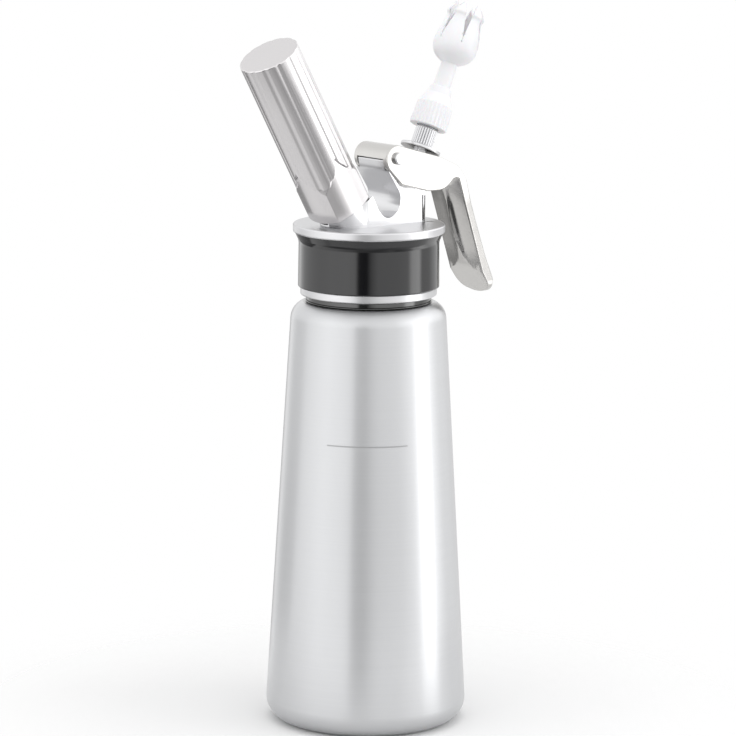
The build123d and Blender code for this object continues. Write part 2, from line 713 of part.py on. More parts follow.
def nozzle_seal():
    low = CONNECTOR_TOP + FIT
    return on_valve(
        tube(STEM_RADIUS + FIT, CONNECTOR_RADIUS - 0.4, low, low + NOZZLE_SEAL_THICKNESS)
    )


def nozzle_adaptor():
    """The ribbed cap that screws on the stem and takes the tip's spigot."""
    low, top = ADAPTOR_BOTTOM, TULIP_BOTTOM
    barrel_top = low + ADAPTOR_BARREL
    body = ribbed_bar(ADAPTOR_RADIUS, ADAPTOR_RIB_DEPTH, ADAPTOR_RIBS, low, barrel_top) & turned(
        (0, low),
        (ADAPTOR_RADIUS, low, 0.5),
        (ADAPTOR_RADIUS - ADAPTOR_DRAFT, barrel_top + 0.5, 0.5),
        (0, barrel_top + 0.5),
    )
    body += turned(
        (0, barrel_top - 2),
        (ADAPTOR_RADIUS - 0.8, barrel_top - 2),
        (ADAPTOR_RADIUS - 0.8, barrel_top + 0.4, 1.2),
        (NECK_TUBE_RADIUS + 1.5, top - 3, 1.5),
        (NECK_TUBE_RADIUS + 0.9, top, 0.4),
        (0, top),
    )
    seal_room = rod(CONNECTOR_RADIUS - 0.3, low - 1, CONNECTOR_TOP + NOZZLE_SEAL_THICKNESS + 0.2)
    thread_bore = rod(STEM_RADIUS + THREAD_PLAY, low - 1, STEM_TOP + 1)
    spigot_bore = rod(NECK_TUBE_RADIUS - 0.7 + FIT, STEM_TOP + 1.0, top + 1)
    return on_valve(body - seal_room - thread_bore - spigot_bore)


def tulip_tip():
    """The bud-shaped tip: a neck that plugs into the adaptor, and petals parted by slots."""
    spigot = NECK_TUBE_RADIUS - 0.7
    bore = spigot - 1.2
    spigot_end = STEM_TOP + 1.2 - TULIP_BOTTOM
    outer_start, inner_end = (NECK_TUBE_RADIUS - 0.2, 10.5), (bore, 11.7)
    outer = Spline(
        outer_start,
        (8.0, 13.9),
        (TULIP_RADIUS, 20.9),
        (7.5, 30.3),
        (3.2, TULIP_LENGTH),
        tangents=[(0.9, 0.5), (-0.75, 1.0)],
    )
    inner = Spline(
        (3.2 - TULIP_WALL, TULIP_LENGTH - 0.2),
        (7.5 - TULIP_WALL, 29.9),
        (TULIP_RADIUS - TULIP_WALL, 20.9),
        (7.0, 14.9),
        inner_end,
        tangents=[(0.75, -1.0), (-0.9, -0.5)],
    )
    rim = Line((3.2, TULIP_LENGTH), (3.2 - TULIP_WALL, TULIP_LENGTH - 0.2))
    neck = Polyline(
        inner_end,
        (bore, spigot_end),
        (spigot, spigot_end),
        (spigot, 0),
        (NECK_TUBE_RADIUS, 0),
        (NECK_TUBE_RADIUS, 4),
        outer_start,
    )
    shell = revolve(make_face(Plane.XZ * (outer + rim + inner + neck)), Axis.Z)
    slot_end = TULIP_LENGTH + 2
    slot = Polyline(
        (0, TULIP_SLOT_START),
        (TULIP_SLOT_HALF, slot_end),
        (-TULIP_SLOT_HALF, slot_end),
        close=True,
    )
    wedge = extrude(make_face(Plane.XZ * slot), amount=-20)
    for index in range(TULIP_PETALS):
        shell -= Rot(0, 0, (index + 0.5) * 360 / TULIP_PETALS) * wedge
    return on_valve(Pos(0, 0, TULIP_BOTTOM) * shell)


def charger_holder():
    """The fluted tube: four-cornered at its mouth, with the corners' tops cut on a slant."""
    step = 2 * pi / HOLDER_FLUTES
    edges = []
    for index in range(HOLDER_FLUTES):
        start, end = index * step, (index + 1) * step
        middle = (start + end) / 2
        valley = HOLDER_RIDGE_RADIUS - HOLDER_FLUTE_DEPTH
        edges.append(
            ThreePointArc(
                (HOLDER_RIDGE_RADIUS * cos(start), HOLDER_RIDGE_RADIUS * sin(start)),
                (valley * cos(middle), valley * sin(middle)),
                (HOLDER_RIDGE_RADIUS * cos(end), HOLDER_RIDGE_RADIUS * sin(end)),
            )
        )
    fluted = extrude(make_face(Curve() + edges), amount=HOLDER_LENGTH)
    sides = []
    for index in range(4):
        start = pi / 4 + index * pi / 2
        middle, end = start + pi / 4, start + pi / 2
        sides.append(
            ThreePointArc(
                (HOLDER_CORNER_RADIUS * cos(start), HOLDER_CORNER_RADIUS * sin(start)),
                (HOLDER_FACE_RADIUS * cos(middle), HOLDER_FACE_RADIUS * sin(middle)),
                (HOLDER_CORNER_RADIUS * cos(end), HOLDER_CORNER_RADIUS * sin(end)),
            )
        )
    cornered = extrude(make_face(Curve() + sides), amount=HOLDER_LENGTH / 2)
    reach = HOLDER_CORNER_RADIUS + HOLDER_CORNER_TOP / HOLDER_CORNER_SLOPE
    slant = Rot(0, 0, 45) * loft(
        [
            Rectangle(2 * reach, 2 * reach),
            Pos(0, 0, 30) * Rectangle(
                2 * (reach - 30 / HOLDER_CORNER_SLOPE), 2 * (reach - 30 / HOLDER_CORNER_SLOPE)
            ),
        ]
    )
    body = (fluted - slant) + (cornered & slant)
    crown = turned(
        (0, 0),
        (HOLDER_CORNER_RADIUS + 1, 0),
        (HOLDER_CORNER_RADIUS + 1, HOLDER_LENGTH - 0.6),
        (HOLDER_RIDGE_RADIUS - 0.5, HOLDER_LENGTH, 0.3),
        (0, HOLDER_LENGTH),
    )
    body = body & crown
    thread = rod(BOSS_RADIUS + THREAD_PLAY, -1, BOSS_LENGTH + 2)
    bore = turned(
        (0, 0),
        (HOLDER_BORE, 0),
        (HOLDER_BORE, HOLDER_LENGTH - HOLDER_END),
        (0, HOLDER_LENGTH - HOLDER_END),
    )
    return on_holder(body - thread - bore)


def charger_cushion():
    top = HOLDER_LENGTH - HOLDER_END
    return on_holder(rod(HOLDER_BORE - 0.3, top - CUSHION_THICKNESS, top))


def gas_charger():
    """The steel cartridge, neck down, with its seal pierced."""
    neck = CHARGER_MOUTH
    body_start = neck + CHARGER_NECK_LENGTH + CHARGER_SHOULDER
    end = neck + CHARGER_LENGTH
    dome = CHARGER_RADIUS - 0.2
    inner_neck = CHARGER_NECK_RADIUS - 1.6
    body = turned(
        (NEEDLE_RADIUS + 0.25, neck),
        (CHARGER_NECK_RADIUS, neck, 0.5),
        (CHARGER_NECK_RADIUS, neck + CHARGER_NECK_LENGTH, 2.0),
        (CHARGER_RADIUS, body_start, 5.0),
        (CHARGER_RADIUS, end, dome),
        (0, end),
        (0, end - CHARGER_WALL),
        (CHARGER_RADIUS - CHARGER_WALL, end - CHARGER_WALL, dome - CHARGER_WALL),
        (CHARGER_RADIUS - CHARGER_WALL, body_start + 0.4, 4.0),
        (inner_neck, neck + CHARGER_NECK_LENGTH, 2.0),
        (inner_neck, neck + 2.0),
        (NEEDLE_RADIUS + 0.25, neck + 2.0),
    )
    return on_holder(body)


def charger_seal():
    return on_holder(tube(NEEDLE_RADIUS + 0.5, BOSS_BORE - FIT, PIERCER_TOP, CHARGER_MOUTH))


def piercer_body():
    """The screwed insert that holds the needle, with a stub that carries the check valve."""
    port = SLEEVE_TOP - SLEEVE_LENGTH / 2
    body = turned(
        (0, PIERCER_STUB_END),
        (PIERCER_STUB_RADIUS, PIERCER_STUB_END, 0.4),
        (PIERCER_STUB_RADIUS, -PIERCER_DEPTH),
        (BOSS_BORE - FIT, -PIERCER_DEPTH),
        (BOSS_BORE - FIT, PIERCER_TOP),
        (0, PIERCER_TOP),
    )
    body -= rod(NEEDLE_RADIUS + FIT, -PIERCER_DEPTH + 2, PIERCER_TOP + 1)
    body -= rod(0.7, port, PIERCER_TOP)
    side_port = Pos(0, 0, port) * Rot(90, 0, 0) * Cylinder(0.6, 20)
    return on_holder(body - side_port)


def piercing_needle():
    """The hollow needle that opens the charger."""
    tip = CHARGER_MOUTH + NEEDLE_REACH
    body = turned(
        (0.4, -PIERCER_DEPTH + 2 + FIT),
        (NEEDLE_RADIUS, -PIERCER_DEPTH + 2 + FIT),
        (NEEDLE_RADIUS, tip - 1.6),
        (0.45, tip),
        (0.4, tip),
    )
    return on_holder(body)


def check_valve_sleeve():
    """The rubber sleeve that covers the stub's side port, so gas passes one way only."""
    low = SLEEVE_TOP - SLEEVE_LENGTH
    return on_holder(tube(PIERCER_STUB_RADIUS + FIT, SLEEVE_RADIUS, low, SLEEVE_TOP))


PIECES = {
    "bottle": bottle,
    "head_body": head_body,
    "grip_collar": grip_collar,
    "trim_ring": trim_ring,
    "head_gasket": head_gasket,
    "lever": lever,
    "lever_pin": lever_pin,
    "pin_clip": pin_clip,
    "valve_stem": valve_stem,
    "valve_bush": valve_bush,
    "stem_seal_ring": stem_seal_ring,
    "valve_seal": valve_seal,
    "seal_retainer": seal_retainer,
    "valve_spring": valve_spring,
    "stem_disc": stem_disc,
    "knurled_connector": knurled_connector,
    "nozzle_seal": nozzle_seal,
    "nozzle_adaptor": nozzle_adaptor,
    "tulip_tip": tulip_tip,
    "charger_holder": charger_holder,
    "charger_cushion": charger_cushion,
    "gas_charger": gas_charger,
    "charger_seal": charger_seal,
    "piercer_body": piercer_body,
    "piercing_needle": piercing_needle,
    "check_valve_sleeve": check_valve_sleeve,
}

os.makedirs("parts", exist_ok=True)
for name, make in PIECES.items():
    piece = make()
    print(name, len(piece.solids()), round(piece.volume, 2))
    export_step(piece, f"parts/{name}.step")
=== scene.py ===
import json
import math

import bmesh
import bpy
from mathutils import Matrix, Quaternion, Vector


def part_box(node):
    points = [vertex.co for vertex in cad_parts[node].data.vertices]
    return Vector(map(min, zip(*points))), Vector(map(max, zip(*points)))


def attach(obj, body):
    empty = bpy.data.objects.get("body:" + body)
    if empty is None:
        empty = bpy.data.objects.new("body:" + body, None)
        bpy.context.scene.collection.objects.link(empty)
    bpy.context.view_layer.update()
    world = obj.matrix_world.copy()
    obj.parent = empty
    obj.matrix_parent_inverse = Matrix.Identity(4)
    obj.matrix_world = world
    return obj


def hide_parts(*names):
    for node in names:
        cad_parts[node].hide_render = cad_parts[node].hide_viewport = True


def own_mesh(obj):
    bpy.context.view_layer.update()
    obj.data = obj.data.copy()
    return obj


bl_info = {
    "name": "Whipped cream dispenser",
    "version": (1, 0, 0),
    "blender": (4, 5, 0),
    "location": "3D View > Sidebar > Whipper",
    "description": "Finishes the pieces of a whipped cream dispenser and sets up its studio",
    "category": "Object",
}

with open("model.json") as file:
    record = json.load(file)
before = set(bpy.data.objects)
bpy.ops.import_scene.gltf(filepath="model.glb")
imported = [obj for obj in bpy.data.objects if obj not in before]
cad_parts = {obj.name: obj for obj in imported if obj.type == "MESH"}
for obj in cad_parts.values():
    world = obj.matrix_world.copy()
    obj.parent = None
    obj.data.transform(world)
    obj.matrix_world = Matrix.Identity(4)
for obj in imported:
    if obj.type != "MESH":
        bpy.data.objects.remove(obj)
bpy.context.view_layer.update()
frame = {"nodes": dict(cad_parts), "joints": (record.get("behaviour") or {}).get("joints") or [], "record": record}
JOINTS = {joint["name"]: joint for joint in frame["joints"]}
NODES = frame["nodes"]
SLOTS = {part["node"]: part["material_slot"] for part in frame["record"]["subparts"]}

# How far along their axes the marks of two joints lie, and how high the pin is over the plate.
VALVE_MARK = 0.045
HOLDER_MARK = 0.030
PIN_HEIGHT = 0.02696

VALVE_AXIS = Vector(JOINTS["nozzle_turn"]["axis"]).normalized()
VALVE_ORIGIN = Vector(JOINTS["nozzle_turn"]["pos_m"]) - VALVE_AXIS * VALVE_MARK
HOLDER_AXIS = Vector(JOINTS["holder_turn"]["axis"]).normalized()
HOLDER_MOUTH = Vector(JOINTS["holder_turn"]["pos_m"]) - HOLDER_AXIS * HOLDER_MARK
PIN = Vector(JOINTS["lever_squeeze"]["pos_m"])
PLATE_TOP = PIN.z - PIN_HEIGHT


# ---- Settings ----


def metres(name, description, default):
    """A size in metres."""
    return bpy.props.FloatProperty(
        name=name, description=description, default=default, unit="LENGTH")


def degrees(name, description, default):
    """An angle. Its default is given in degrees."""
    return bpy.props.FloatProperty(
        name=name, description=description, default=math.radians(default), subtype="ANGLE")


def rgb(name, description, default):
    """A colour, in linear red, green and blue."""
    return bpy.props.FloatVectorProperty(
        name=name, description=description, default=default, subtype="COLOR", min=0, max=1)


def number(name, description, default):
    """A plain number, whole where its default is."""
    kind = bpy.props.IntProperty if isinstance(default, int) else bpy.props.FloatProperty
    return kind(name=name, description=description, default=default)


class BottleSizes(bpy.types.PropertyGroup):
    """Sizes of the bottle."""

    base_radius: metres("Base radius", "The cone, carried on to the base plane", 0.04175)
    shoulder_radius: metres("Shoulder radius", "The cone, carried on to the shoulder's top", 0.0315)
    shoulder_height: metres("Shoulder height", "Base to the shoulder's top", 0.1749)
    base_rounding: metres("Base rounding", "Rounding between the cone and the base", 0.009)
    shoulder_rounding: metres("Shoulder rounding", "Rounding at the cone's top", 0.0074)
    foot_width: metres("Foot width", "The cone's foot to the standing ring's inner edge", 0.01275)
    neck_radius: metres("Neck radius", "Outside of the neck, under its thread", 0.023)
    bead_radius: metres("Bead radius", "Mirror band between the shoulder and the head", 0.0255)
    bead_height: metres("Bead height", "Height of the mirror band", 0.0027)
    wall: metres("Wall", "Thickness of the steel", 0.0012)
    thread_pitch: metres("Thread pitch", "Climb of the neck's thread in one turn", 0.0034)
    thread_height: metres("Thread height", "How far the thread stands out of the neck", 0.00075)
    fill_line_height: metres("Fill line", "Height of the etched line", 0.1203)
    fill_line_length: metres("Fill line length", "Length of the etched line", 0.0325)
    fill_line_width: metres("Fill line width", "Width of the etched line", 0.00056)
    fill_line_turn: degrees("Fill line turn", "Turn of the etched line round the bottle from -Y", -41)


class HeadSizes(bpy.types.PropertyGroup):
    """Sizes of the pieces on the head."""

    tulip_edge: metres("Tulip edge", "Width of the softened edges of the tulip", 0.0002)
    crown: metres("Handle crown", "Height of the ridge on the handle's inner face", 0.0020)
    spring_turns: number("Spring turns", "Turns of the valve's spring", 5.0)
    spring_radius: metres("Spring radius", "Axis to the middle of the spring's wire", 0.0039)
    spring_wire: metres("Spring wire", "Thickness of the valve's spring", 0.0009)
    knurls: number("Knurls", "Ribs round the connector", 26)
    knurl_radius: metres("Connector radius", "Outside of the connector's ribs", 0.00465)
    knurl_depth: metres("Knurl depth", "Depth between the connector's ribs", 0.0006)
    cap_ribs: number("Cap ribs", "Ribs round the nozzle's cap", 28)
    cap_radius: metres("Cap radius", "Outside of the nozzle's cap", 0.0079)


class HolderSizes(bpy.types.PropertyGroup):
    """Sizes of the charger holder."""

    length: metres("Length", "Mouth to end", 0.0745)
    radius: metres("Radius", "Outside of the fluted part", 0.01242)
    flutes: number("Flutes", "Grooves round the holder", 14)
    flute_depth: metres("Flute depth", "Depth of a groove", 0.0003)
    flute_width: metres("Flute width", "Half the width of a groove", 0.0015)
    corner_radius: metres("Corner radius", "Axis to the corners of the lower part", 0.0131)
    face_radius: metres("Face radius", "Axis to the middles of the lower part's faces", 0.01135)
    corner_top: metres("Corner top", "Mouth to the corners' upper ends", 0.0137)
    corner_slope: number("Corner slope", "Rise of the cuts over the corners", 2.6)


class Finishes(bpy.types.PropertyGroup):
    """Colours of the finishes."""

    bottle_steel: rgb("Bottle steel", "Brushed steel of the bottle", (0.565, 0.57, 0.58))
    casting: rgb("Casting", "Polished casting of the head", (0.60, 0.60, 0.61))
    lever: rgb("Lever", "Polished casting of the lever", (0.54, 0.53, 0.515))
    holder: rgb("Charger holder", "Satin aluminium", (0.62, 0.605, 0.61))
    collar: rgb("Collar", "Black gloss plastic", (0.004, 0.004, 0.005))
    plastic: rgb("Nozzle plastic", "White plastic", (0.86, 0.86, 0.88))
    rubber: rgb("Silicone", "Seals and cushion", (0.50, 0.51, 0.53))


class Studio(bpy.types.PropertyGroup):
    """Camera and light."""

    azimuth: degrees("Azimuth", "Turn of the camera round the bottle", -41)
    elevation: degrees("Elevation", "Height of the camera above the horizon", 10)
    roll: degrees("Roll", "Tilt of the picture", 0.45)
    distance: metres("Distance", "Camera to the middle of the bottle", 1.64)
    target_height: metres("Target height", "Height that the camera looks at", 0.1467)
    lens: number("Lens", "Focal length in millimetres on a 36 mm sensor", 195.65)
    ambient: number("Ambient", "Light from all round", 0.8)
    lamps: number("Lamps", "Brightness of the soft boxes", 1.0)


# ---- Node trees ----


class Value:
    """A socket of a node tree. Python's operators on it add the Math nodes."""

    def __init__(self, graph, socket):
        self.graph = graph
        self.socket = socket

    def __add__(self, other):
        return self.graph.math("ADD", self, other)

    def __radd__(self, other):
        return self.graph.math("ADD", other, self)

    def __sub__(self, other):
        return self.graph.math("SUBTRACT", self, other)

    def __rsub__(self, other):
        return self.graph.math("SUBTRACT", other, self)

    def __mul__(self, other):
        return self.graph.math("MULTIPLY", self, other)

    def __rmul__(self, other):
        return self.graph.math("MULTIPLY", other, self)

    def __truediv__(self, other):
        return self.graph.math("DIVIDE", self, other)

    def __rtruediv__(self, other):
        return self.graph.math("DIVIDE", other, self)

    def __pow__(self, other):
        return self.graph.math("POWER", self, other)

    def __rpow__(self, other):
        return self.graph.math("POWER", other, self)

    def __gt__(self, other):
        return self.graph.math("GREATER_THAN", self, other)

    def __lt__(self, other):
        return self.graph.math("LESS_THAN", self, other)

    def __abs__(self):
        return self.graph.math("ABSOLUTE", self)


class Graph:
    """Builds a node tree: every node comes from node(), and Math nodes from math()."""

    def __init__(self, tree):
        self.tree = tree

    def node(self, kind, settings=None, inputs=None, output=None):
        """A node with its settings made first and then its sockets fed. Gives the node, or the
        Value of the named output."""
        made = self.tree.nodes.new(kind)
        for name, setting in (settings or {}).items():
            if name == "stops":
                self.set_stops(made.color_ramp.elements, setting)
            else:
                setattr(made, name, setting)
        for name, value in (inputs or {}).items():
            self.feed(made.inputs[name], value)
        return made if output is None else Value(self, made.outputs[output])

    def set_stops(self, elements, stops):
        """Gives a ramp its grey stops, as places and levels."""
        while len(elements) < len(stops):
            elements.new(1)
        for element, (place, level) in zip(elements, stops):
            element.position = place
            element.color = (level, level, level, 1)

    def feed(self, socket, value):
        """Links a Value to a socket, or sets the socket to anything else."""
        if isinstance(value, Value):
            self.tree.links.new(value.socket, socket)
        else:
            socket.default_value = value

    def math(self, operation, *values):
        settings = {"operation": operation}
        return self.node("ShaderNodeMath", settings, dict(enumerate(values)), 0)

    def measure(self, operation, *vectors):
        """A number from vectors, such as their dot product."""
        settings = {"operation": operation}
        return self.node("ShaderNodeVectorMath", settings, dict(enumerate(vectors)), "Value")

    def upward(self, vector):
        """The Z of a vector."""
        return self.node("ShaderNodeSeparateXYZ", None, {0: vector}, "Z")

    def colours(self, factor, first, second):
        """The first colour where the factor is 0, the second where it is 1."""
        return self.node(
            "ShaderNodeMix", {"data_type": "RGBA"}, {0: factor, 6: first, 7: second}, 2)

    def smooth_step(self, value, low, high):
        return self.node(
            "ShaderNodeMapRange", {"interpolation_type": "SMOOTHSTEP"},
            {"Value": value, "From Min": low, "From Max": high}, "Result")

    def noise(self, vector, scale, detail=2.0, roughness=0.5):
        return self.node(
            "ShaderNodeTexNoise", None,
            {"Vector": vector, "Scale": scale, "Detail": detail, "Roughness": roughness}, 0)


def shade(level):
    return (level, level, level, 1)


def right_and_near(turn):
    """Directions to the right and towards one who looks at the bottle from a turn round it."""
    return (math.cos(turn), math.sin(turn), 0), (math.sin(turn), -math.cos(turn), 0)


def tinted(colour, level):
    """A colour made lighter or darker."""
    return tuple(min(1.0, part * level) for part in colour) + (1,)


class Finish(Graph):
    """A material: Object coordinates, and one Principled shader that the maker feeds."""

    def __init__(self):
        self.material = bpy.data.materials.new("finish")
        self.material.use_nodes = True
        super().__init__(self.material.node_tree)
        self.tree.nodes.clear()
        self.place = self.node("ShaderNodeTexCoord", output="Object")

    def stretched(self, scale, origin=(0, 0, 0), axis=(0, 0, 1)):
        """Object coordinates from an origin, turned so that Z runs along the axis, and scaled."""
        turn = Vector(axis).rotation_difference(Vector((0, 0, 1)))
        shift = -(turn @ Vector(origin))
        turned = self.node(
            "ShaderNodeMapping", None,
            {"Vector": self.place, "Location": shift, "Rotation": turn.to_euler()}, 0)
        return self.node("ShaderNodeMapping", None, {"Vector": turned, "Scale": scale}, 0)

    def bump(self, height, distance, strength=1.0):
        return self.node(
            "ShaderNodeBump", None,
            {"Height": height, "Distance": distance, "Strength": strength}, "Normal")

    def complete(self, sockets):
        """Makes the shader from its sockets by name, and gives the material."""
        shader = self.node("ShaderNodeBsdfPrincipled", None, sockets, 0)
        self.node("ShaderNodeOutputMaterial", None, {"Surface": shader})
        return self.material


# ---- Finishes ----


def brushed_bottle_steel(sizes, colour):
    """Steel brushed round the bottle, with a polished band under the head that is painted nearly black as a
    painted reflection of the dark ring above it and painted shade under that ring, and an etched line.
    """
    finish = Finish()
    fine = finish.noise(finish.stretched((26, 26, 9000)), 1.0, 3.0, 0.6)
    broad = finish.noise(finish.stretched((9, 9, 1100)), 1.0)
    cloud = finish.noise(finish.place, 22.0)
    height = finish.upward(finish.place)
    sideways, near = right_and_near(sizes.fill_line_turn)
    across = finish.measure("DOT_PRODUCT", finish.place, sideways)
    outward = finish.measure("DOT_PRODUCT", finish.place, near)
    line = (
        (abs(height - sizes.fill_line_height) < sizes.fill_line_width / 2)
        * (abs(across) < sizes.fill_line_length / 2)
        * (outward > 0)
    )
    mirror = finish.smooth_step(height, sizes.shoulder_height - 0.0006, sizes.shoulder_height)
    brushed = 1 - mirror
    grain = fine * 0.6 + broad * 0.4
    tone = finish.colours(grain, tinted(colour, 0.93), tinted(colour, 1.05))
    tone = finish.colours(line * 0.4, tone, shade(0.36))
    # Painted shade and reflection: the polished band under the head is painted nearly black. This stands in for
    # the dark ring's underside mirrored in it and for the shade under that ring.
    bead_top = sizes.shoulder_height + sizes.bead_height
    bead = mirror - finish.smooth_step(height, bead_top, bead_top + 0.0005)
    tone = finish.colours(bead, tone, shade(0.10))
    roughness = brushed * (0.27 + grain * 0.12 + cloud * 0.03) + mirror * 0.12 + line * 0.2
    return finish.complete({
        "Base Color": tone,
        "Metallic": 1.0,
        "Roughness": roughness,
        "Anisotropic": 0.92,
        "Anisotropic Rotation": 0.25,
        "Normal": finish.bump(grain * brushed, 0.00002, 0.6),
    })


def polished_metal(colour, roughness, satin_top=0.0):
    """A polished casting: a little uneven, with faint scratches and softer patches, and satin
    below a height."""
    finish = Finish()
    waves = finish.noise(finish.place, 190.0)
    patches = finish.noise(finish.place, 45.0, 3.0)
    scratches = finish.noise(finish.stretched((2400, 160, 900)), 1.0, 2.0, 0.7)
    height = finish.upward(finish.place)
    satin = (height < satin_top) * 0.14
    level = satin + roughness + patches * 0.07 + scratches * 0.05
    tone = finish.colours(patches, tinted(colour, 0.97), tinted(colour, 1.03))
    return finish.complete({
        "Base Color": tone,
        "Metallic": 1.0,
        "Roughness": level,
        "Normal": finish.bump(waves + scratches * 0.15, 0.00003),
    })


def satin_holder_metal(colour):
    """Satin aluminium with a grain along the holder."""
    finish = Finish()
    grain = finish.noise(
        finish.stretched((2600, 2600, 26), HOLDER_MOUTH, HOLDER_AXIS), 1.0, 3.0, 0.6)
    patches = finish.noise(finish.place, 60.0)
    tone = finish.colours(grain, tinted(colour, 0.94), tinted(colour, 1.04))
    return finish.complete({
        "Base Color": tone,
        "Metallic": 1.0,
        "Roughness": 0.17 + grain * 0.1 + patches * 0.05,
        "Normal": finish.bump(grain, 0.000015),
    })


def turned_metal(colour, roughness, axis):
    """Metal with a lathe's fine rings round an axis through the valve."""
    finish = Finish()
    rings = finish.noise(finish.stretched((60, 60, 5200), VALVE_ORIGIN, axis), 1.0)
    patches = finish.noise(finish.place, 120.0)
    tone = finish.colours(rings, tinted(colour, 0.93), tinted(colour, 1.04))
    return finish.complete({
        "Base Color": tone,
        "Metallic": 1.0,
        "Roughness": roughness + rings * 0.12 + patches * 0.05,
        "Normal": finish.bump(rings, 0.000008),
    })


def gloss_black(colour):
    """Gloss plastic with a faint moulding texture."""
    finish = Finish()
    cloud = finish.noise(finish.place, 120.0)
    specks = finish.noise(finish.place, 2600.0)
    tone = finish.colours(cloud, tinted(colour, 0.8), tinted(colour, 1.5))
    return finish.complete({
        "Base Color": tone,
        "Roughness": 0.09 + cloud * 0.05 + specks * 0.02,
        "IOR": 1.5,
        "Coat Weight": 0.35,
        "Coat Roughness": 0.05,
        "Normal": finish.bump(cloud, 0.00002),
    })


def white_plastic(colour):
    """White plastic that lets a little light in, with a faint orange peel."""
    finish = Finish()
    cloud = finish.noise(finish.place, 90.0)
    orange_peel = finish.noise(finish.place, 1300.0)
    tone = finish.colours(cloud, tinted(colour, 0.985), tinted(colour, 1.01))
    return finish.complete({
        "Base Color": tone,
        "Roughness": 0.27 + cloud * 0.08,
        "IOR": 1.49,
        "Subsurface Weight": 0.12,
        "Subsurface Scale": 0.002,
        "Normal": finish.bump(orange_peel, 0.00001),
    })


def silicone(colour):
    """Matt silicone with a fine grit and a faint bloom."""
    finish = Finish()
    bloom = finish.noise(finish.place, 160.0, 3.0)
    grit = finish.noise(finish.place, 3200.0)
    tone = finish.colours(bloom, tinted(colour, 0.9), tinted(colour, 1.08))
    return finish.complete({
        "Base Color": tone,
        "Roughness": 0.55 + bloom * 0.15,
        "IOR": 1.41,
        "Normal": finish.bump(grit, 0.00002),
    })


def charger_metal(colour):
    """Zinc plate with the faint spangle and the drawn grain of a cartridge."""
    finish = Finish()
    spangle = finish.node(
        "ShaderNodeTexVoronoi", {"feature": "F1"}, {"Vector": finish.place, "Scale": 420.0}, 0)
    grain = finish.noise(finish.stretched((1500, 1500, 40), HOLDER_MOUTH, HOLDER_AXIS), 1.0)
    tone = finish.colours(spangle * 0.5 + grain * 0.5, tinted(colour, 0.9), tinted(colour, 1.1))
    return finish.complete({
        "Base Color": tone,
        "Metallic": 0.85,
        "Roughness": 0.28 + spangle * 0.12,
        "Normal": finish.bump(grain, 0.00001),
    })


# The casting is satin up to this height over the plate.
PLATE_SATIN = 0.0008
# The colours of the pin, the valve, its spring and the charger.
PIN_STEEL = 0.62, 0.62, 0.63
VALVE_STEEL = 0.60, 0.60, 0.61
SPRING_STEEL = 0.55, 0.56, 0.57
ZINC_PLATE = 0.52, 0.54, 0.57

FINISHES = {
    "brushed_steel_body": lambda scene: brushed_bottle_steel(
        scene.bottle_sizes, scene.finishes.bottle_steel),
    "polished_casting": lambda scene: polished_metal(
        scene.finishes.casting, 0.14, PLATE_TOP + PLATE_SATIN),
    "polished_lever": lambda scene: polished_metal(scene.finishes.lever, 0.16),
    "satin_aluminium": lambda scene: satin_holder_metal(scene.finishes.holder),
    "black_collar": lambda scene: gloss_black(scene.finishes.collar),
    "pin_steel": lambda scene: polished_metal(PIN_STEEL, 0.12),
    "valve_steel": lambda scene: turned_metal(VALVE_STEEL, 0.18, VALVE_AXIS),
    "spring_steel": lambda scene: turned_metal(SPRING_STEEL, 0.22, (1, 0, 0)),
    "charger_steel": lambda scene: charger_metal(ZINC_PLATE),
    "white_plastic": lambda scene: white_plastic(scene.finishes.plastic),
    "grey_silicone": lambda scene: silicone(scene.finishes.rubber),
}


def finish_of(node):
    """The material of a CAD node's slot, made when it is first asked for."""
    name = SLOTS[node] + "_finish"
    if name not in bpy.data.materials:
        FINISHES[SLOTS[node]](bpy.context.scene).name = name
    return bpy.data.materials[name]


def paint(*nodes):
    """Gives CAD nodes the finish of their slot."""
    for node in nodes:
        slots = NODES[node].data.materials
        slots.clear()
        slots.append(finish_of(node))


# ---- Meshes ----


class Shape(Graph):
    """A geometry node tree with named inputs that is run once, to make a plain mesh."""

    def __init__(self, name, **sizes):
        super().__init__(bpy.data.node_groups.new(name, "GeometryNodeTree"))
        self.sizes = sizes
        interface = self.tree.interface
        interface.new_socket("Geometry", in_out="OUTPUT", socket_type="NodeSocketGeometry")
        for size, value in sizes.items():
            kind = "NodeSocketInt" if isinstance(value, int) else "NodeSocketFloat"
            interface.new_socket(size, in_out="INPUT", socket_type=kind)
        self.inputs = self.node("NodeGroupInput")

    def size(self, name):
        """The Value of a named input."""
        return Value(self, self.inputs.outputs[name])

    def place(self):
        """The position as its x, y and z."""
        position = self.node("GeometryNodeInputPosition", output=0)
        parts = self.node("ShaderNodeSeparateXYZ", None, {0: position})
        return [Value(self, output) for output in parts.outputs]

    def move(self, geometry, x, y, z):
        """The geometry with its points put at new places."""
        position = self.node("ShaderNodeCombineXYZ", None, {0: x, 1: y, 2: z}, 0)
        return self.node(
            "GeometryNodeSetPosition", None, {"Geometry": geometry, "Position": position}, 0)

    def mesh(self, geometry, material):
        """Runs the tree and gives its mesh."""
        real = self.node("GeometryNodeRealizeInstances", None, {0: geometry}, 0)
        painted = self.node(
            "GeometryNodeSetMaterial", None, {"Geometry": real, "Material": material}, 0)
        self.node("NodeGroupOutput", None, {0: painted})
        carrier = bpy.data.objects.new("carrier", bpy.data.meshes.new("carrier"))
        bpy.context.scene.collection.objects.link(carrier)
        modifier = carrier.modifiers.new("shape", "NODES")
        modifier.node_group = self.tree
        for item in self.tree.interface.items_tree:
            if item.in_out == "INPUT":
                modifier[item.identifier] = self.sizes[item.name]
        return plain_mesh(carrier)


def plain_mesh(carrier):
    """The mesh that an object's modifiers make. The object is removed."""
    graph = bpy.context.evaluated_depsgraph_get()
    mesh = bpy.data.meshes.new_from_object(carrier.evaluated_get(graph), depsgraph=graph)
    bpy.data.objects.remove(carrier)
    return mesh


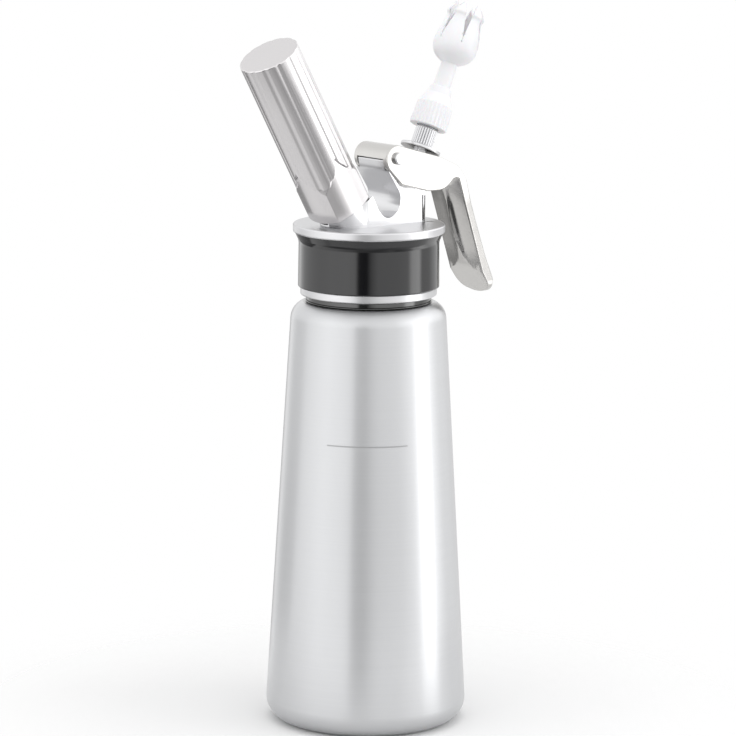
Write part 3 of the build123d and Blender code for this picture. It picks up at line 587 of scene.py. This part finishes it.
def coil(name, radius, wire, turns, height, rest, material):
    """A wire wound up a cylinder. It lies flat for a share of its length at each end, its rest, and
    its tips are thinner."""
    shape = Shape(name, Radius=radius, Wire=wire, Turns=turns, Height=height)
    spiral = shape.node(
        "GeometryNodeCurveSpiral", None,
        {"Resolution": 64, "Rotations": shape.size("Turns"), "Start Radius": shape.size("Radius"),
         "End Radius": shape.size("Radius"), "Height": shape.size("Height")}, 0)
    factor = shape.node("GeometryNodeSplineParameter", output="Factor")
    x, y, z = shape.place()
    climb = shape.node(
        "ShaderNodeMapRange", None, {"Value": factor, "From Min": rest, "From Max": 1 - rest},
        "Result")
    spiral = shape.move(spiral, x, y, climb * shape.size("Height"))
    ends = shape.math("MINIMUM", factor, 1 - factor)
    thickness = shape.smooth_step(ends, 0.0, 0.03) * 0.8 + 0.2
    section = shape.node(
        "GeometryNodeCurvePrimitiveCircle", None,
        {"Resolution": 16, "Radius": shape.size("Wire") / 2}, 0)
    wound = shape.node(
        "GeometryNodeCurveToMesh", None,
        {"Curve": spiral, "Profile Curve": section, "Scale": thickness, "Fill Caps": True}, 0)
    return shape.mesh(wound, material)


def knurled_ring(radius, depth, height, edge, ribs, material):
    """A ring with straight ribs that fade out into its rounded edges."""
    shape = Shape("knurled_ring", Radius=radius, Depth=depth, Height=height, Edge=edge, Ribs=ribs)
    drum = shape.node(
        "GeometryNodeMeshCylinder", {"fill_type": "TRIANGLE_FAN"},
        {"Vertices": shape.size("Ribs") * 14, "Side Segments": 28, "Fill Segments": 5,
         "Radius": 1.0, "Depth": shape.size("Height")}, "Mesh")
    x, y, z = shape.place()
    turn = shape.math("ARCTAN2", y, x) * shape.size("Ribs") / math.tau
    rib = 1 - (0.5 - shape.math("COSINE", turn * math.tau) * 0.5) ** 3.0
    room = shape.size("Height") / 2 - abs(z)
    inside = shape.smooth_step(room, 0.0, shape.size("Edge") * 2)
    rounding = shape.size("Edge") * (1 - inside) ** 2.0
    reach = shape.size("Radius") - shape.size("Depth") * (1 - rib) * inside - rounding
    drum = shape.move(drum, x * reach, y * reach, z + shape.size("Height") / 2)
    return shape.mesh(drum, material)


# Points closer than this are one.
SAME = 2e-6


def rounded(corners, steps=6):
    """Points along corners (radius, height, rounding), each corner being an arc of that radius."""
    points = []
    for index, corner in enumerate(corners):
        point = Vector(corner[:2])
        if len(corner) < 3 or index in (0, len(corners) - 1):
            points.append(point)
            continue
        back = (Vector(corners[index - 1][:2]) - point).normalized()
        ahead = (Vector(corners[index + 1][:2]) - point).normalized()
        half = back.angle(ahead) / 2
        reach = corner[2] / math.tan(half)
        centre = point + (back + ahead).normalized() * corner[2] / math.sin(half)
        start, end = point + back * reach - centre, point + ahead * reach - centre
        sweep = start.angle(end)
        for step in range(steps + 1):
            share = step / steps
            weights = math.sin((1 - share) * sweep), math.sin(share * sweep)
            points.append(centre + (start * weights[0] + end * weights[1]) / math.sin(sweep))
    return [tuple(point) for point in points]


def loft(name, rings, segments):
    """A mesh through rings (radius, height) round Z. The radius is a number, or a function of the
    angle. A ring of radius 0 closes the mesh, and so does a last ring that is the first again."""
    build = bmesh.new()
    loops = []
    for radius, height in rings:
        loop = []
        for index in range(segments if radius else 1):
            angle = math.tau * index / segments
            reach = radius(angle) if callable(radius) else radius
            loop.append(build.verts.new(
                (reach * math.cos(angle), reach * math.sin(angle), height)))
        loops.append(loop)
    for low, high in zip(loops, loops[1:]):
        for index in range(segments):
            following = (index + 1) % segments
            corners = (
                low[index % len(low)], low[following % len(low)],
                high[following % len(high)], high[index % len(high)])
            build.faces.new(list(dict.fromkeys(corners)))
    bmesh.ops.remove_doubles(build, verts=build.verts, dist=SAME)
    bmesh.ops.recalc_face_normals(build, faces=build.faces)
    mesh = bpy.data.meshes.new(name)
    build.to_mesh(mesh)
    build.free()
    return mesh


def clamped(value):
    """A number held between 0 and 1."""
    return min(1.0, max(0.0, value))


def ribbed(radius, depth, count):
    """The radius of a drum with soft ribs, as a function of the angle."""
    return lambda angle: radius - depth * (0.5 - 0.5 * math.cos(angle * count)) ** 0.7


def trimmed(reach, cut):
    """A function of the angle that is smaller than another one by a cut."""
    return lambda angle: reach(angle) - cut


def along_axis(node, origin, axis):
    """Where a CAD node starts and ends along an axis, from an origin."""
    places = [(vert.co - origin).dot(axis) for vert in NODES[node].data.vertices]
    return min(places), max(places)


def on_axis(origin, axis):
    """The placement that turns Z to an axis in the XZ plane and lifts the origin to a point."""
    up = Vector(axis)
    across = Vector((up.z, 0, -up.x))
    turned = Matrix((across, up.cross(across), up)).transposed().to_4x4()
    return Matrix.Translation(origin) @ turned


def piece(name, mesh, body, node, placement=None, smooth=35.0, instead=True):
    """An object for a mesh that rides on a body, in a CAD node's slot and in place of the node
    where instead is true. Edges above the smooth angle are sharp; with None the mesh keeps its
    normals."""
    if placement:
        mesh.transform(placement)
    mesh.name = name
    if not mesh.materials:
        mesh.materials.append(finish_of(node))
    if smooth:
        mesh.shade_smooth()
        mesh.set_sharp_from_angle(angle=math.radians(smooth))
    made = bpy.data.objects.new(name, mesh)
    bpy.context.scene.collection.objects.link(made)
    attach(made, body)
    if instead:
        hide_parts(node)
    return made


# Angles up to which two faces are one flat face, and from which the edge between them is sharp.
FLAT = math.radians(0.4)
SHARP = math.radians(32)


def softened(node, edge=0.0, change=None):
    """A copy of a CAD node's mesh with clean shading. A change may work on its mesh first, and its
    sharp edges are rounded off where edge gives them a width."""
    build = bmesh.new()
    build.from_mesh(NODES[node].data)
    bmesh.ops.remove_doubles(build, verts=build.verts, dist=SAME)
    bmesh.ops.dissolve_degenerate(build, edges=build.edges, dist=SAME)
    bmesh.ops.dissolve_limit(build, angle_limit=FLAT, verts=build.verts, edges=build.edges)
    if change:
        change(build)
    bmesh.ops.recalc_face_normals(build, faces=build.faces)
    mesh = bpy.data.meshes.new(node + "_softened")
    build.to_mesh(mesh)
    build.free()
    mesh.shade_smooth()
    mesh.set_sharp_from_angle(angle=SHARP)
    carrier = bpy.data.objects.new("carrier", mesh)
    bpy.context.scene.collection.objects.link(carrier)
    if edge:
        bevel = carrier.modifiers.new("edges", "BEVEL")
        bevel.limit_method = "ANGLE"
        bevel.angle_limit = SHARP
        bevel.width = edge
        bevel.segments = 2
        bevel.use_clamp_overlap = False
    weights = carrier.modifiers.new("normals", "WEIGHTED_NORMAL")
    weights.weight = 90
    weights.keep_sharp = True
    return plain_mesh(carrier)


# ---- Operators ----


# The bottle's underside, floor and neck: the height of the hollow under it, the width of the slope
# from the hollow to the standing ring, the floor's height inside, the neck's wall, and how far the
# thread stays from the bead and from the rim.
FOOT_HEIGHT = 0.0018
FOOT_SLOPE = 0.004
FLOOR_HEIGHT = 0.0034
NECK_WALL = 0.0014
THREAD_START = 0.0034
THREAD_END = 0.0018


class WHIPPER_OT_bottle(bpy.types.Operator):
    """Make the brushed bottle with its threaded neck"""

    bl_idname = "whipper.bottle"
    bl_label = "Bottle"

    def execute(self, context):
        sizes = context.scene.bottle_sizes
        base, shoulder, top = sizes.base_radius, sizes.shoulder_radius, sizes.shoulder_height
        bead, neck, wall = sizes.bead_radius, sizes.neck_radius, sizes.wall
        ring = base - sizes.foot_width
        bead_top = top + sizes.bead_height
        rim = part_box("bottle")[1].z
        bore = neck - NECK_WALL
        inner_base = base - wall - (base - shoulder) / top * FLOOR_HEIGHT
        profile = rounded([
            (0, FOOT_HEIGHT), (ring - FOOT_SLOPE, FOOT_HEIGHT, 0.002), (ring, 0, 0.0012),
            (base, 0, sizes.base_rounding), (shoulder, top, sizes.shoulder_rounding),
            (bead - 0.0016, top, 0.0003), (bead, top + 0.0005, 0.0003), (bead, bead_top, 0.0006),
            (neck, bead_top, 0.0004), (neck, rim, 0.0005), (bore, rim, 0.0005),
            (bore, top - wall, 0.0012),
            (shoulder - wall, top - wall, sizes.shoulder_rounding - wall),
            (inner_base, FLOOR_HEIGHT, sizes.base_rounding - wall), (0, FLOOR_HEIGHT),
        ], 10)
        mesh = loft("bottle", profile, segments=224)
        piece("bottle_body", mesh, "bottle", "bottle", smooth=50)
        start = bead_top + THREAD_START
        climb = rim - THREAD_END - start
        thread = coil(
            "thread", neck, sizes.thread_height * 2, climb / sizes.thread_pitch, climb, 0.0,
            finish_of("bottle"))
        lift = Matrix.Translation((0, 0, start))
        piece("neck_thread", thread, "bottle", "bottle", lift, instead=False)
        paint("head_gasket")
        return {"FINISHED"}


class WHIPPER_OT_collar(bpy.types.Operator):
    """Finish the grip collar and the trim ring"""

    bl_idname = "whipper.collar"
    bl_label = "Collar"

    def execute(self, context):
        paint("grip_collar", "trim_ring")
        return {"FINISHED"}


class WHIPPER_OT_head(bpy.types.Operator):
    """Make the head casting with clean shading"""

    bl_idname = "whipper.head"
    bl_label = "Head"

    def execute(self, context):
        mesh = softened("head_body")
        piece("head_casting", mesh, "head", "head_body", smooth=None)
        return {"FINISHED"}


# Two points of the ridge along the handle, from the pin. Half the handle's width, how far the faces
# beside the ridge fall to the edges, and how much the flanks lean in below the edges.
RIDGE = Vector((0.03584, 0, -0.02206)), Vector((0.04504, 0, -0.04896))
LEVER_HALF = 0.01025
ROOF_FALL = 0.0015
FLANK_DRAFT = 0.14
# The share of the crown that is a narrow bead, the power that narrows it, and the top's rounding.
BEAD_SHARE = 0.8
BEAD_POWER = 15
RIDGE_ROUND = 0.03
# The shape starts this far before the first point, and fades in and out over this length.
HOLLOW_LEAD = 0.008
HOLLOW_FADE = 0.009
# Where the faces are cut for it: out from the middle, and along from the first point.
CUTS_ACROSS = 0, 0.0003, 0.0007, 0.0012, 0.0018, 0.0025, 0.0033, 0.0042, 0.0053, 0.0066, 0.0082
CUTS_ALONG = -0.008, -0.005, -0.002, 0.001, 0.019, 0.022, 0.025, 0.027


def hollow_handle(crown):
    """Gives a function that makes both sides of the handle's ridge hollow and the ridge higher."""
    def change(build):
        run = (RIDGE[1] - RIDGE[0]).normalized()
        out = Vector((run.z, 0, -run.x))
        start = PIN + RIDGE[0]
        cuts = [(Vector((0, place * side, 0)), Vector((0, 1, 0)))
                for place in CUTS_ACROSS for side in (1, -1)]
        cuts += [(start + run * place, run) for place in CUTS_ALONG]
        for point, normal in cuts:
            bmesh.ops.bisect_plane(
                build, geom=[*build.verts, *build.edges, *build.faces],
                plane_co=point, plane_no=normal, dist=1e-6)
        length = (RIDGE[1] - RIDGE[0]).length
        for vert in build.verts:
            share = abs(vert.co.y) / LEVER_HALF
            along = (vert.co - start).dot(run)
            depth = -(vert.co - start).dot(out)
            below = clamped((along + HOLLOW_LEAD) / HOLLOW_FADE)
            on_face = abs(depth - ROOF_FALL * share) < 3e-5 and share < 1.001
            if on_face:
                near = 1 + RIDGE_ROUND - math.sqrt(share ** 2 + RIDGE_ROUND ** 2)
                ridge = (1 - BEAD_SHARE) * near + BEAD_SHARE * near ** BEAD_POWER
                rise = crown * ridge - ROOF_FALL * (1 - share)
                vert.co += out * rise * below * clamped((length - along) / HOLLOW_FADE)
            elif depth > ROOF_FALL:
                vert.co.y *= 1 - FLANK_DRAFT * below * (depth - ROOF_FALL) / LEVER_HALF
    return change


class WHIPPER_OT_lever(bpy.types.Operator):
    """Make the lever and finish its pin and clip"""

    bl_idname = "whipper.lever"
    bl_label = "Lever"

    def execute(self, context):
        sizes = context.scene.head_sizes
        mesh = softened("lever", change=hollow_handle(sizes.crown))
        piece("lever_casting", mesh, "lever", "lever", smooth=None)
        paint("lever_pin", "pin_clip")
        return {"FINISHED"}


# The share of the spring's wire that lies flat at each end, and the connector's rounded edge.
SPRING_REST = 0.14
KNURL_EDGE = 0.00035


class WHIPPER_OT_valve(bpy.types.Operator):
    """Make the valve's spring and knurled connector, and finish the other valve pieces"""

    bl_idname = "whipper.valve"
    bl_label = "Valve"

    def execute(self, context):
        sizes = context.scene.head_sizes
        low, high = along_axis("valve_spring", VALVE_ORIGIN, VALVE_AXIS)
        wire = sizes.spring_wire
        mesh = coil(
            "spring", sizes.spring_radius, wire, sizes.spring_turns, high - low - wire, SPRING_REST,
            finish_of("valve_spring"))
        placement = on_axis(VALVE_ORIGIN + VALVE_AXIS * (low + wire / 2), VALVE_AXIS)
        spring = piece("wound_spring", mesh, "head", "valve_spring", placement)
        travel = JOINTS["valve_press"]["range_m"][1]
        tuple(VALVE_ORIGIN + VALVE_AXIS * low)
        1 - travel / (high - low)
        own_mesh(spring)
        low, high = along_axis("knurled_connector", VALVE_ORIGIN, VALVE_AXIS)
        mesh = knurled_ring(
            sizes.knurl_radius, sizes.knurl_depth, high - low, KNURL_EDGE, sizes.knurls,
            finish_of("knurled_connector"))
        placement = on_axis(VALVE_ORIGIN + VALVE_AXIS * low, VALVE_AXIS)
        piece("knurled_ring", mesh, "valve", "knurled_connector", placement, smooth=60)
        paint("valve_stem", "stem_disc", "valve_bush", "stem_seal_ring", "valve_seal",
              "seal_retainer")
        return {"FINISHED"}


# The rings of the cap's ribbed skirt, upwards: how far each lies inside the cap's radius, how deep
# its ribs are and how high it is.
CAP_SKIRT = (
    (0.0005, 0, 0), (0.00015, 0.0001, 0.00015), (0, 0.00035, 0.0006), (0.0003, 0.00035, 0.0095),
    (0.0004, 0.0003, 0.0099), (0.0008, 0, 0.0102),
)
# The cap's bores for the tulip, the valve's stem and the connector.
TULIP_BORE = 0.00295
STEM_BORE = 0.0031
CONNECTOR_BORE = 0.0046


class WHIPPER_OT_nozzle(bpy.types.Operator):
    """Make the ribbed cap and the tulip tip"""

    bl_idname = "whipper.nozzle"
    bl_label = "Nozzle"

    def execute(self, context):
        sizes = context.scene.head_sizes
        low, high = along_axis("nozzle_adaptor", VALVE_ORIGIN, VALVE_AXIS)
        skirt = [(sizes.cap_radius - inset, depth, low + height)
                 for inset, depth, height in CAP_SKIRT]
        foot = skirt[0][0], low
        brim = skirt[-1][0], skirt[-1][2]
        ribs = [(ribbed(radius, depth, sizes.cap_ribs), height) for radius, depth, height in skirt]
        top = rounded([
            brim, (brim[0] - 0.0002, brim[1] + 0.0006, 0.0005),
            (0.0051, high - 0.003, 0.0015), (0.0045, high, 0.0004), (TULIP_BORE, high, 0.0002),
            (TULIP_BORE, high - 0.004), (STEM_BORE, high - 0.0042), (STEM_BORE, low + 0.001),
            (CONNECTOR_BORE, low + 0.001), (CONNECTOR_BORE, low, 0.0002), foot,
        ])
        mesh = loft("cap", ribs + top[1:], segments=sizes.cap_ribs * 12)
        placement = on_axis(VALVE_ORIGIN, VALVE_AXIS)
        piece("nozzle_cap", mesh, "nozzle", "nozzle_adaptor", placement)
        mesh = softened("tulip_tip", sizes.tulip_edge)
        piece("tulip", mesh, "nozzle", "tulip_tip", smooth=None)
        paint("nozzle_seal")
        return {"FINISHED"}


# The charger holder's hollow: its bore, the wider bore of its mouth and how deep that goes, and the
# thickness of its end.
HOLDER_BORE = 0.0093
MOUTH_BORE = 0.00975
MOUTH_DEPTH = 0.0116
HOLDER_END = 0.0035
# The close rings at the cuts over the corners: the first one's height, their step and number.
CUT_START = 0.012
CUT_STEP = 0.00025
CUT_RINGS = 76
# The width over which the cuts run into the fluted part, and the roundings of mouth and end.
CUT_BLEND = 0.00012
MOUTH_EDGE = 0.0004
END_EDGE = 0.0007


def holder_reach(sizes, height):
    """The radius of the holder's outside at a height, as a function of the angle."""
    bulge = sizes.face_radius - sizes.corner_radius / math.sqrt(2)
    curve = (bulge ** 2 + sizes.corner_radius ** 2 / 2) / (2 * bulge)
    centre = sizes.face_radius - curve
    limit = sizes.corner_radius + (sizes.corner_top - height) / sizes.corner_slope
    step = math.tau / sizes.flutes

    def reach(angle):
        groove = abs((angle / step) % 1 - 0.5) * step * sizes.radius / sizes.flute_width
        depth = sizes.flute_depth * (0.5 + 0.5 * math.cos(math.pi * groove)) if groove < 1 else 0
        flute = sizes.radius - depth
        off_face = (angle + math.pi / 4) % (math.pi / 2) - math.pi / 4
        corner = centre * math.cos(off_face) + math.sqrt(
            curve ** 2 - (centre * math.sin(off_face)) ** 2)
        lean = math.cos(math.pi / 4 - abs(off_face))
        inside = min(corner, limit / lean)
        share = clamped((flute * lean - limit) / CUT_BLEND + 0.5)
        return inside + max(0.0, flute - inside) * share ** 2 * (3 - 2 * share)
    return reach


class WHIPPER_OT_holder(bpy.types.Operator):
    """Make the fluted charger holder"""

    bl_idname = "whipper.holder"
    bl_label = "Charger holder"

    def execute(self, context):
        sizes = context.scene.holder_sizes
        length = sizes.length
        heights = [MOUTH_EDGE, 0.006, 0.0115]
        heights += [CUT_START + CUT_STEP * step for step in range(CUT_RINGS)]
        heights += [0.031, 0.05, length - END_EDGE - 0.0001]
        inside = [
            (0, length - HOLDER_END), (HOLDER_BORE, length - HOLDER_END),
            (HOLDER_BORE, MOUTH_DEPTH + 0.0002), (MOUTH_BORE, MOUTH_DEPTH), (MOUTH_BORE, 0.0003),
            (MOUTH_BORE + 0.00035, 0),
        ]
        outside = [(trimmed(holder_reach(sizes, 0), MOUTH_EDGE), 0)]
        outside += [(holder_reach(sizes, height), height) for height in heights]
        end = holder_reach(sizes, length)
        for step in range(1, 6):
            turn = step * math.pi / 10
            cut = END_EDGE * (1 - math.cos(turn))
            outside.append((trimmed(end, cut), length - END_EDGE * (1 - math.sin(turn))))
        outside += [(trimmed(end, END_EDGE + 0.0004), length), (0.006, length), (0, length)]
        mesh = loft("holder", inside + outside, segments=sizes.flutes * 26)
        placement = on_axis(HOLDER_MOUTH, HOLDER_AXIS)
        piece("holder_shell", mesh, "holder", "charger_holder", placement, smooth=40)
        return {"FINISHED"}


class WHIPPER_OT_charger(bpy.types.Operator):
    """Finish the charger and the pieces that pierce and seal it"""

    bl_idname = "whipper.charger"
    bl_label = "Charger"

    def execute(self, context):
        paint("gas_charger", "charger_cushion", "charger_seal", "piercer_body",
              "piercing_needle", "check_valve_sleeve")
        return {"FINISHED"}


# The soft boxes: how far each is to the camera's right, towards the camera and up, its width and
# height, and its power. They all point at one height over the base.
SOFT_BOXES = {
    "right_box": (1.1, 0.35, 0.5, 0.8, 1.1, 3.5),
    "left_box": (-1.1, 0.45, 0.5, 0.8, 1.1, 1.2),
    "top_box": (0, 0.2, 1.3, 1.0, 1.0, 4.5),
}
LAMP_TARGET = 0.14


def soft_box(name, place, target, size, power):
    """An area lamp that lights the object without showing in its gloss."""
    lamp = bpy.data.lights.new(name, "AREA")
    lamp.shape = "RECTANGLE"
    lamp.size, lamp.size_y = size
    lamp.energy = power
    made = bpy.data.objects.new(name, lamp)
    bpy.context.scene.collection.objects.link(made)
    made.location = place
    made.rotation_mode = "QUATERNION"
    made.rotation_quaternion = (target - place).to_track_quat("-Z", "Y")
    made.visible_glossy = False
    made.visible_camera = False


# What gloss sees round the object: bands of a room, upwards. Each has two heights, as sines of the
# elevation, between which it takes over from the band below, and its brightness by the azimuth in
# degrees from the camera's, positive to its right. A ramp's levels end at 1, so they are shares of
# the peak.
ROOM = (
    (-1.0, -1.0, ((-180, 1.0), (-110, 1.05), (-40, 1.0), (0, 0.8), (40, 1.0), (180, 1.0))),
    (-0.74, -0.70, (
        (-180, 1.0), (-96, 1.0), (-84, 0.6), (-70, 0.35), (-30, 0.35), (2, 0.6), (14, 0.5),
        (27, 0.4), (50, 0.6), (90, 1.0), (180, 1.0),
    )),
    (-0.56, -0.53, (
        (-180, 0.8), (-168, 0.4), (-110, 0.24), (-106, 1.15), (-60, 1.2), (-30, 0.8), (-16, 0.45),
        (10, 0.35), (24, 0.45), (38, 0.7), (48, 0.42), (58, 0.5), (74, 0.9), (82, 2.2),
        (100, 2.6), (120, 1.3), (180, 0.8),
    )),
    (-0.28, -0.24, (
        (-180, 0.5), (-165, 0.55), (-152, 1.3), (-128, 1.0), (-110, 1.15), (-85, 1.4), (-66, 1.65),
        (-36, 1.75), (-22, 1.65), (-16, 0.1), (-3, 0.05), (5, 0.75), (15, 1.25), (48, 1.3),
        (67, 1.4), (75, 3.2), (90, 3.4), (97, 1.1), (116, 0.85), (128, 1.0), (150, 0.95),
        (168, 0.9), (180, 0.5),
    )),
    (-0.01, 0.05, (
        (-180, 1.05), (-110, 1.3), (-60, 1.8), (-20, 1.6), (0, 1.5),
        (40, 1.5), (64, 2.2), (100, 2.2), (140, 1.6), (156, 1.2), (180, 1.05),
    )),
    (0.55, 0.7, ((-180, 1.1), (-60, 1.25), (0, 1.2), (60, 1.3), (120, 1.2), (180, 1.1))),
)
PEAK = 5.0


def studio_world(studio):
    """White behind the object for the camera, plain light all round, and a room for the gloss."""
    world = bpy.data.worlds.new("studio")
    bpy.context.scene.world = world
    world.use_nodes = True
    graph = Graph(world.node_tree)
    graph.tree.nodes.clear()
    path = graph.node("ShaderNodeLightPath")
    camera = Value(graph, path.outputs["Is Camera Ray"])
    glossy = Value(graph, path.outputs["Is Glossy Ray"])
    through = Value(graph, path.outputs["Is Transmission Ray"])
    direction = graph.node("ShaderNodeTexCoord", output="Generated")
    sideways, near = right_and_near(studio.azimuth)
    right = graph.measure("DOT_PRODUCT", direction, sideways)
    near = graph.measure("DOT_PRODUCT", direction, near)
    up = graph.upward(direction)
    turn = graph.math("ARCTAN2", right, near) / math.tau + 0.5
    room = None
    for start, end, profile in ROOM:
        stops = [(angle / 360 + 0.5, level / PEAK) for angle, level in profile]
        band = graph.node("ShaderNodeValToRGB", {"stops": stops}, {"Fac": turn}, "Color")
        room = graph.colours(graph.smooth_step(up, start, end), room, band) if room else band
    level = graph.colours(glossy, shade(studio.ambient / PEAK), room)
    level = graph.colours(graph.math("MAXIMUM", camera, through), level, shade(1 / PEAK))
    light = graph.node("ShaderNodeBackground", None, {"Color": level, "Strength": PEAK}, 0)
    graph.node("ShaderNodeOutputWorld", None, {"Surface": light})


def floor_material():
    """White paper that fades out away from the object, so that only its shadow shows."""
    finish = Finish()
    distance = finish.measure("LENGTH", finish.place)
    paper = finish.noise(finish.place, 900.0)
    return finish.complete({
        "Base Color": finish.colours(paper, shade(0.90), shade(0.92)),
        "Roughness": 0.9,
        "Specular IOR Level": 0.0,
        "Alpha": 1 - finish.smooth_step(distance, 0.09, 0.2),
    })


class WHIPPER_OT_stage(bpy.types.Operator):
    """Make the floor, the light and the camera"""

    bl_idname = "whipper.stage"
    bl_label = "Studio"

    def execute(self, context):
        scene = context.scene
        studio = scene.studio
        mesh = bpy.data.meshes.new("floor")
        half = 0.25
        corners = [(-half, -half, 0), (half, -half, 0), (half, half, 0), (-half, half, 0)]
        mesh.from_pydata(corners, [], [(0, 1, 2, 3)])
        floor = bpy.data.objects.new("floor", mesh)
        scene.collection.objects.link(floor)
        mesh.materials.append(floor_material())

        right, near = (Vector(way) for way in right_and_near(studio.azimuth))
        up = Vector((0, 0, 1))
        for name, (across, ahead, height, *size, power) in SOFT_BOXES.items():
            place = right * across + near * ahead + up * height
            soft_box(name, place, up * LAMP_TARGET, size, power * studio.lamps)

        camera = bpy.data.cameras.new("camera")
        made = bpy.data.objects.new("camera", camera)
        scene.collection.objects.link(made)
        camera.sensor_width = 36
        camera.lens = studio.lens
        camera.clip_end = 20
        level = math.cos(studio.elevation)
        back = near * level + up * math.sin(studio.elevation)
        made.location = up * studio.target_height + back * studio.distance
        made.rotation_mode = "QUATERNION"
        made.rotation_quaternion = back.to_track_quat("Z", "Y") @ Quaternion((0, 0, 1), studio.roll)
        scene.camera = made
        studio_world(studio)
        scene.view_settings.view_transform = "Standard"
        return {"FINISHED"}


class WHIPPER_PT_panel(bpy.types.Panel):
    """The dispenser's settings and makers"""

    bl_idname = "WHIPPER_PT_panel"
    bl_label = "Whipped cream dispenser"
    bl_space_type = "VIEW_3D"
    bl_region_type = "UI"
    bl_category = "Whipper"

    def draw(self, context):
        layout = self.layout
        for group in SETTINGS:
            settings = getattr(context.scene, group)
            column = layout.column(align=True)
            for name in settings.bl_rna.properties.keys():
                if name not in ("rna_type", "name"):
                    column.prop(settings, name)
        for maker in MAKERS:
            layout.operator(maker.bl_idname)


SETTINGS = {
    "bottle_sizes": BottleSizes,
    "head_sizes": HeadSizes,
    "holder_sizes": HolderSizes,
    "finishes": Finishes,
    "studio": Studio,
}
MAKERS = (
    WHIPPER_OT_bottle,
    WHIPPER_OT_collar,
    WHIPPER_OT_head,
    WHIPPER_OT_lever,
    WHIPPER_OT_valve,
    WHIPPER_OT_nozzle,
    WHIPPER_OT_holder,
    WHIPPER_OT_charger,
    WHIPPER_OT_stage,
)
CLASSES = (*SETTINGS.values(), *MAKERS, WHIPPER_PT_panel)


def register():
    for cls in CLASSES:
        bpy.utils.register_class(cls)
    for name, cls in SETTINGS.items():
        setattr(bpy.types.Scene, name, bpy.props.PointerProperty(type=cls))


def unregister():
    for name in SETTINGS:
        delattr(bpy.types.Scene, name)
    for cls in reversed(CLASSES):
        bpy.utils.unregister_class(cls)


def main():
    """Makes everything."""
    register()
    for maker in MAKERS:
        group, name = maker.bl_idname.split(".")
        getattr(getattr(bpy.ops, group), name)()


if __name__ == "__main__":
    main()
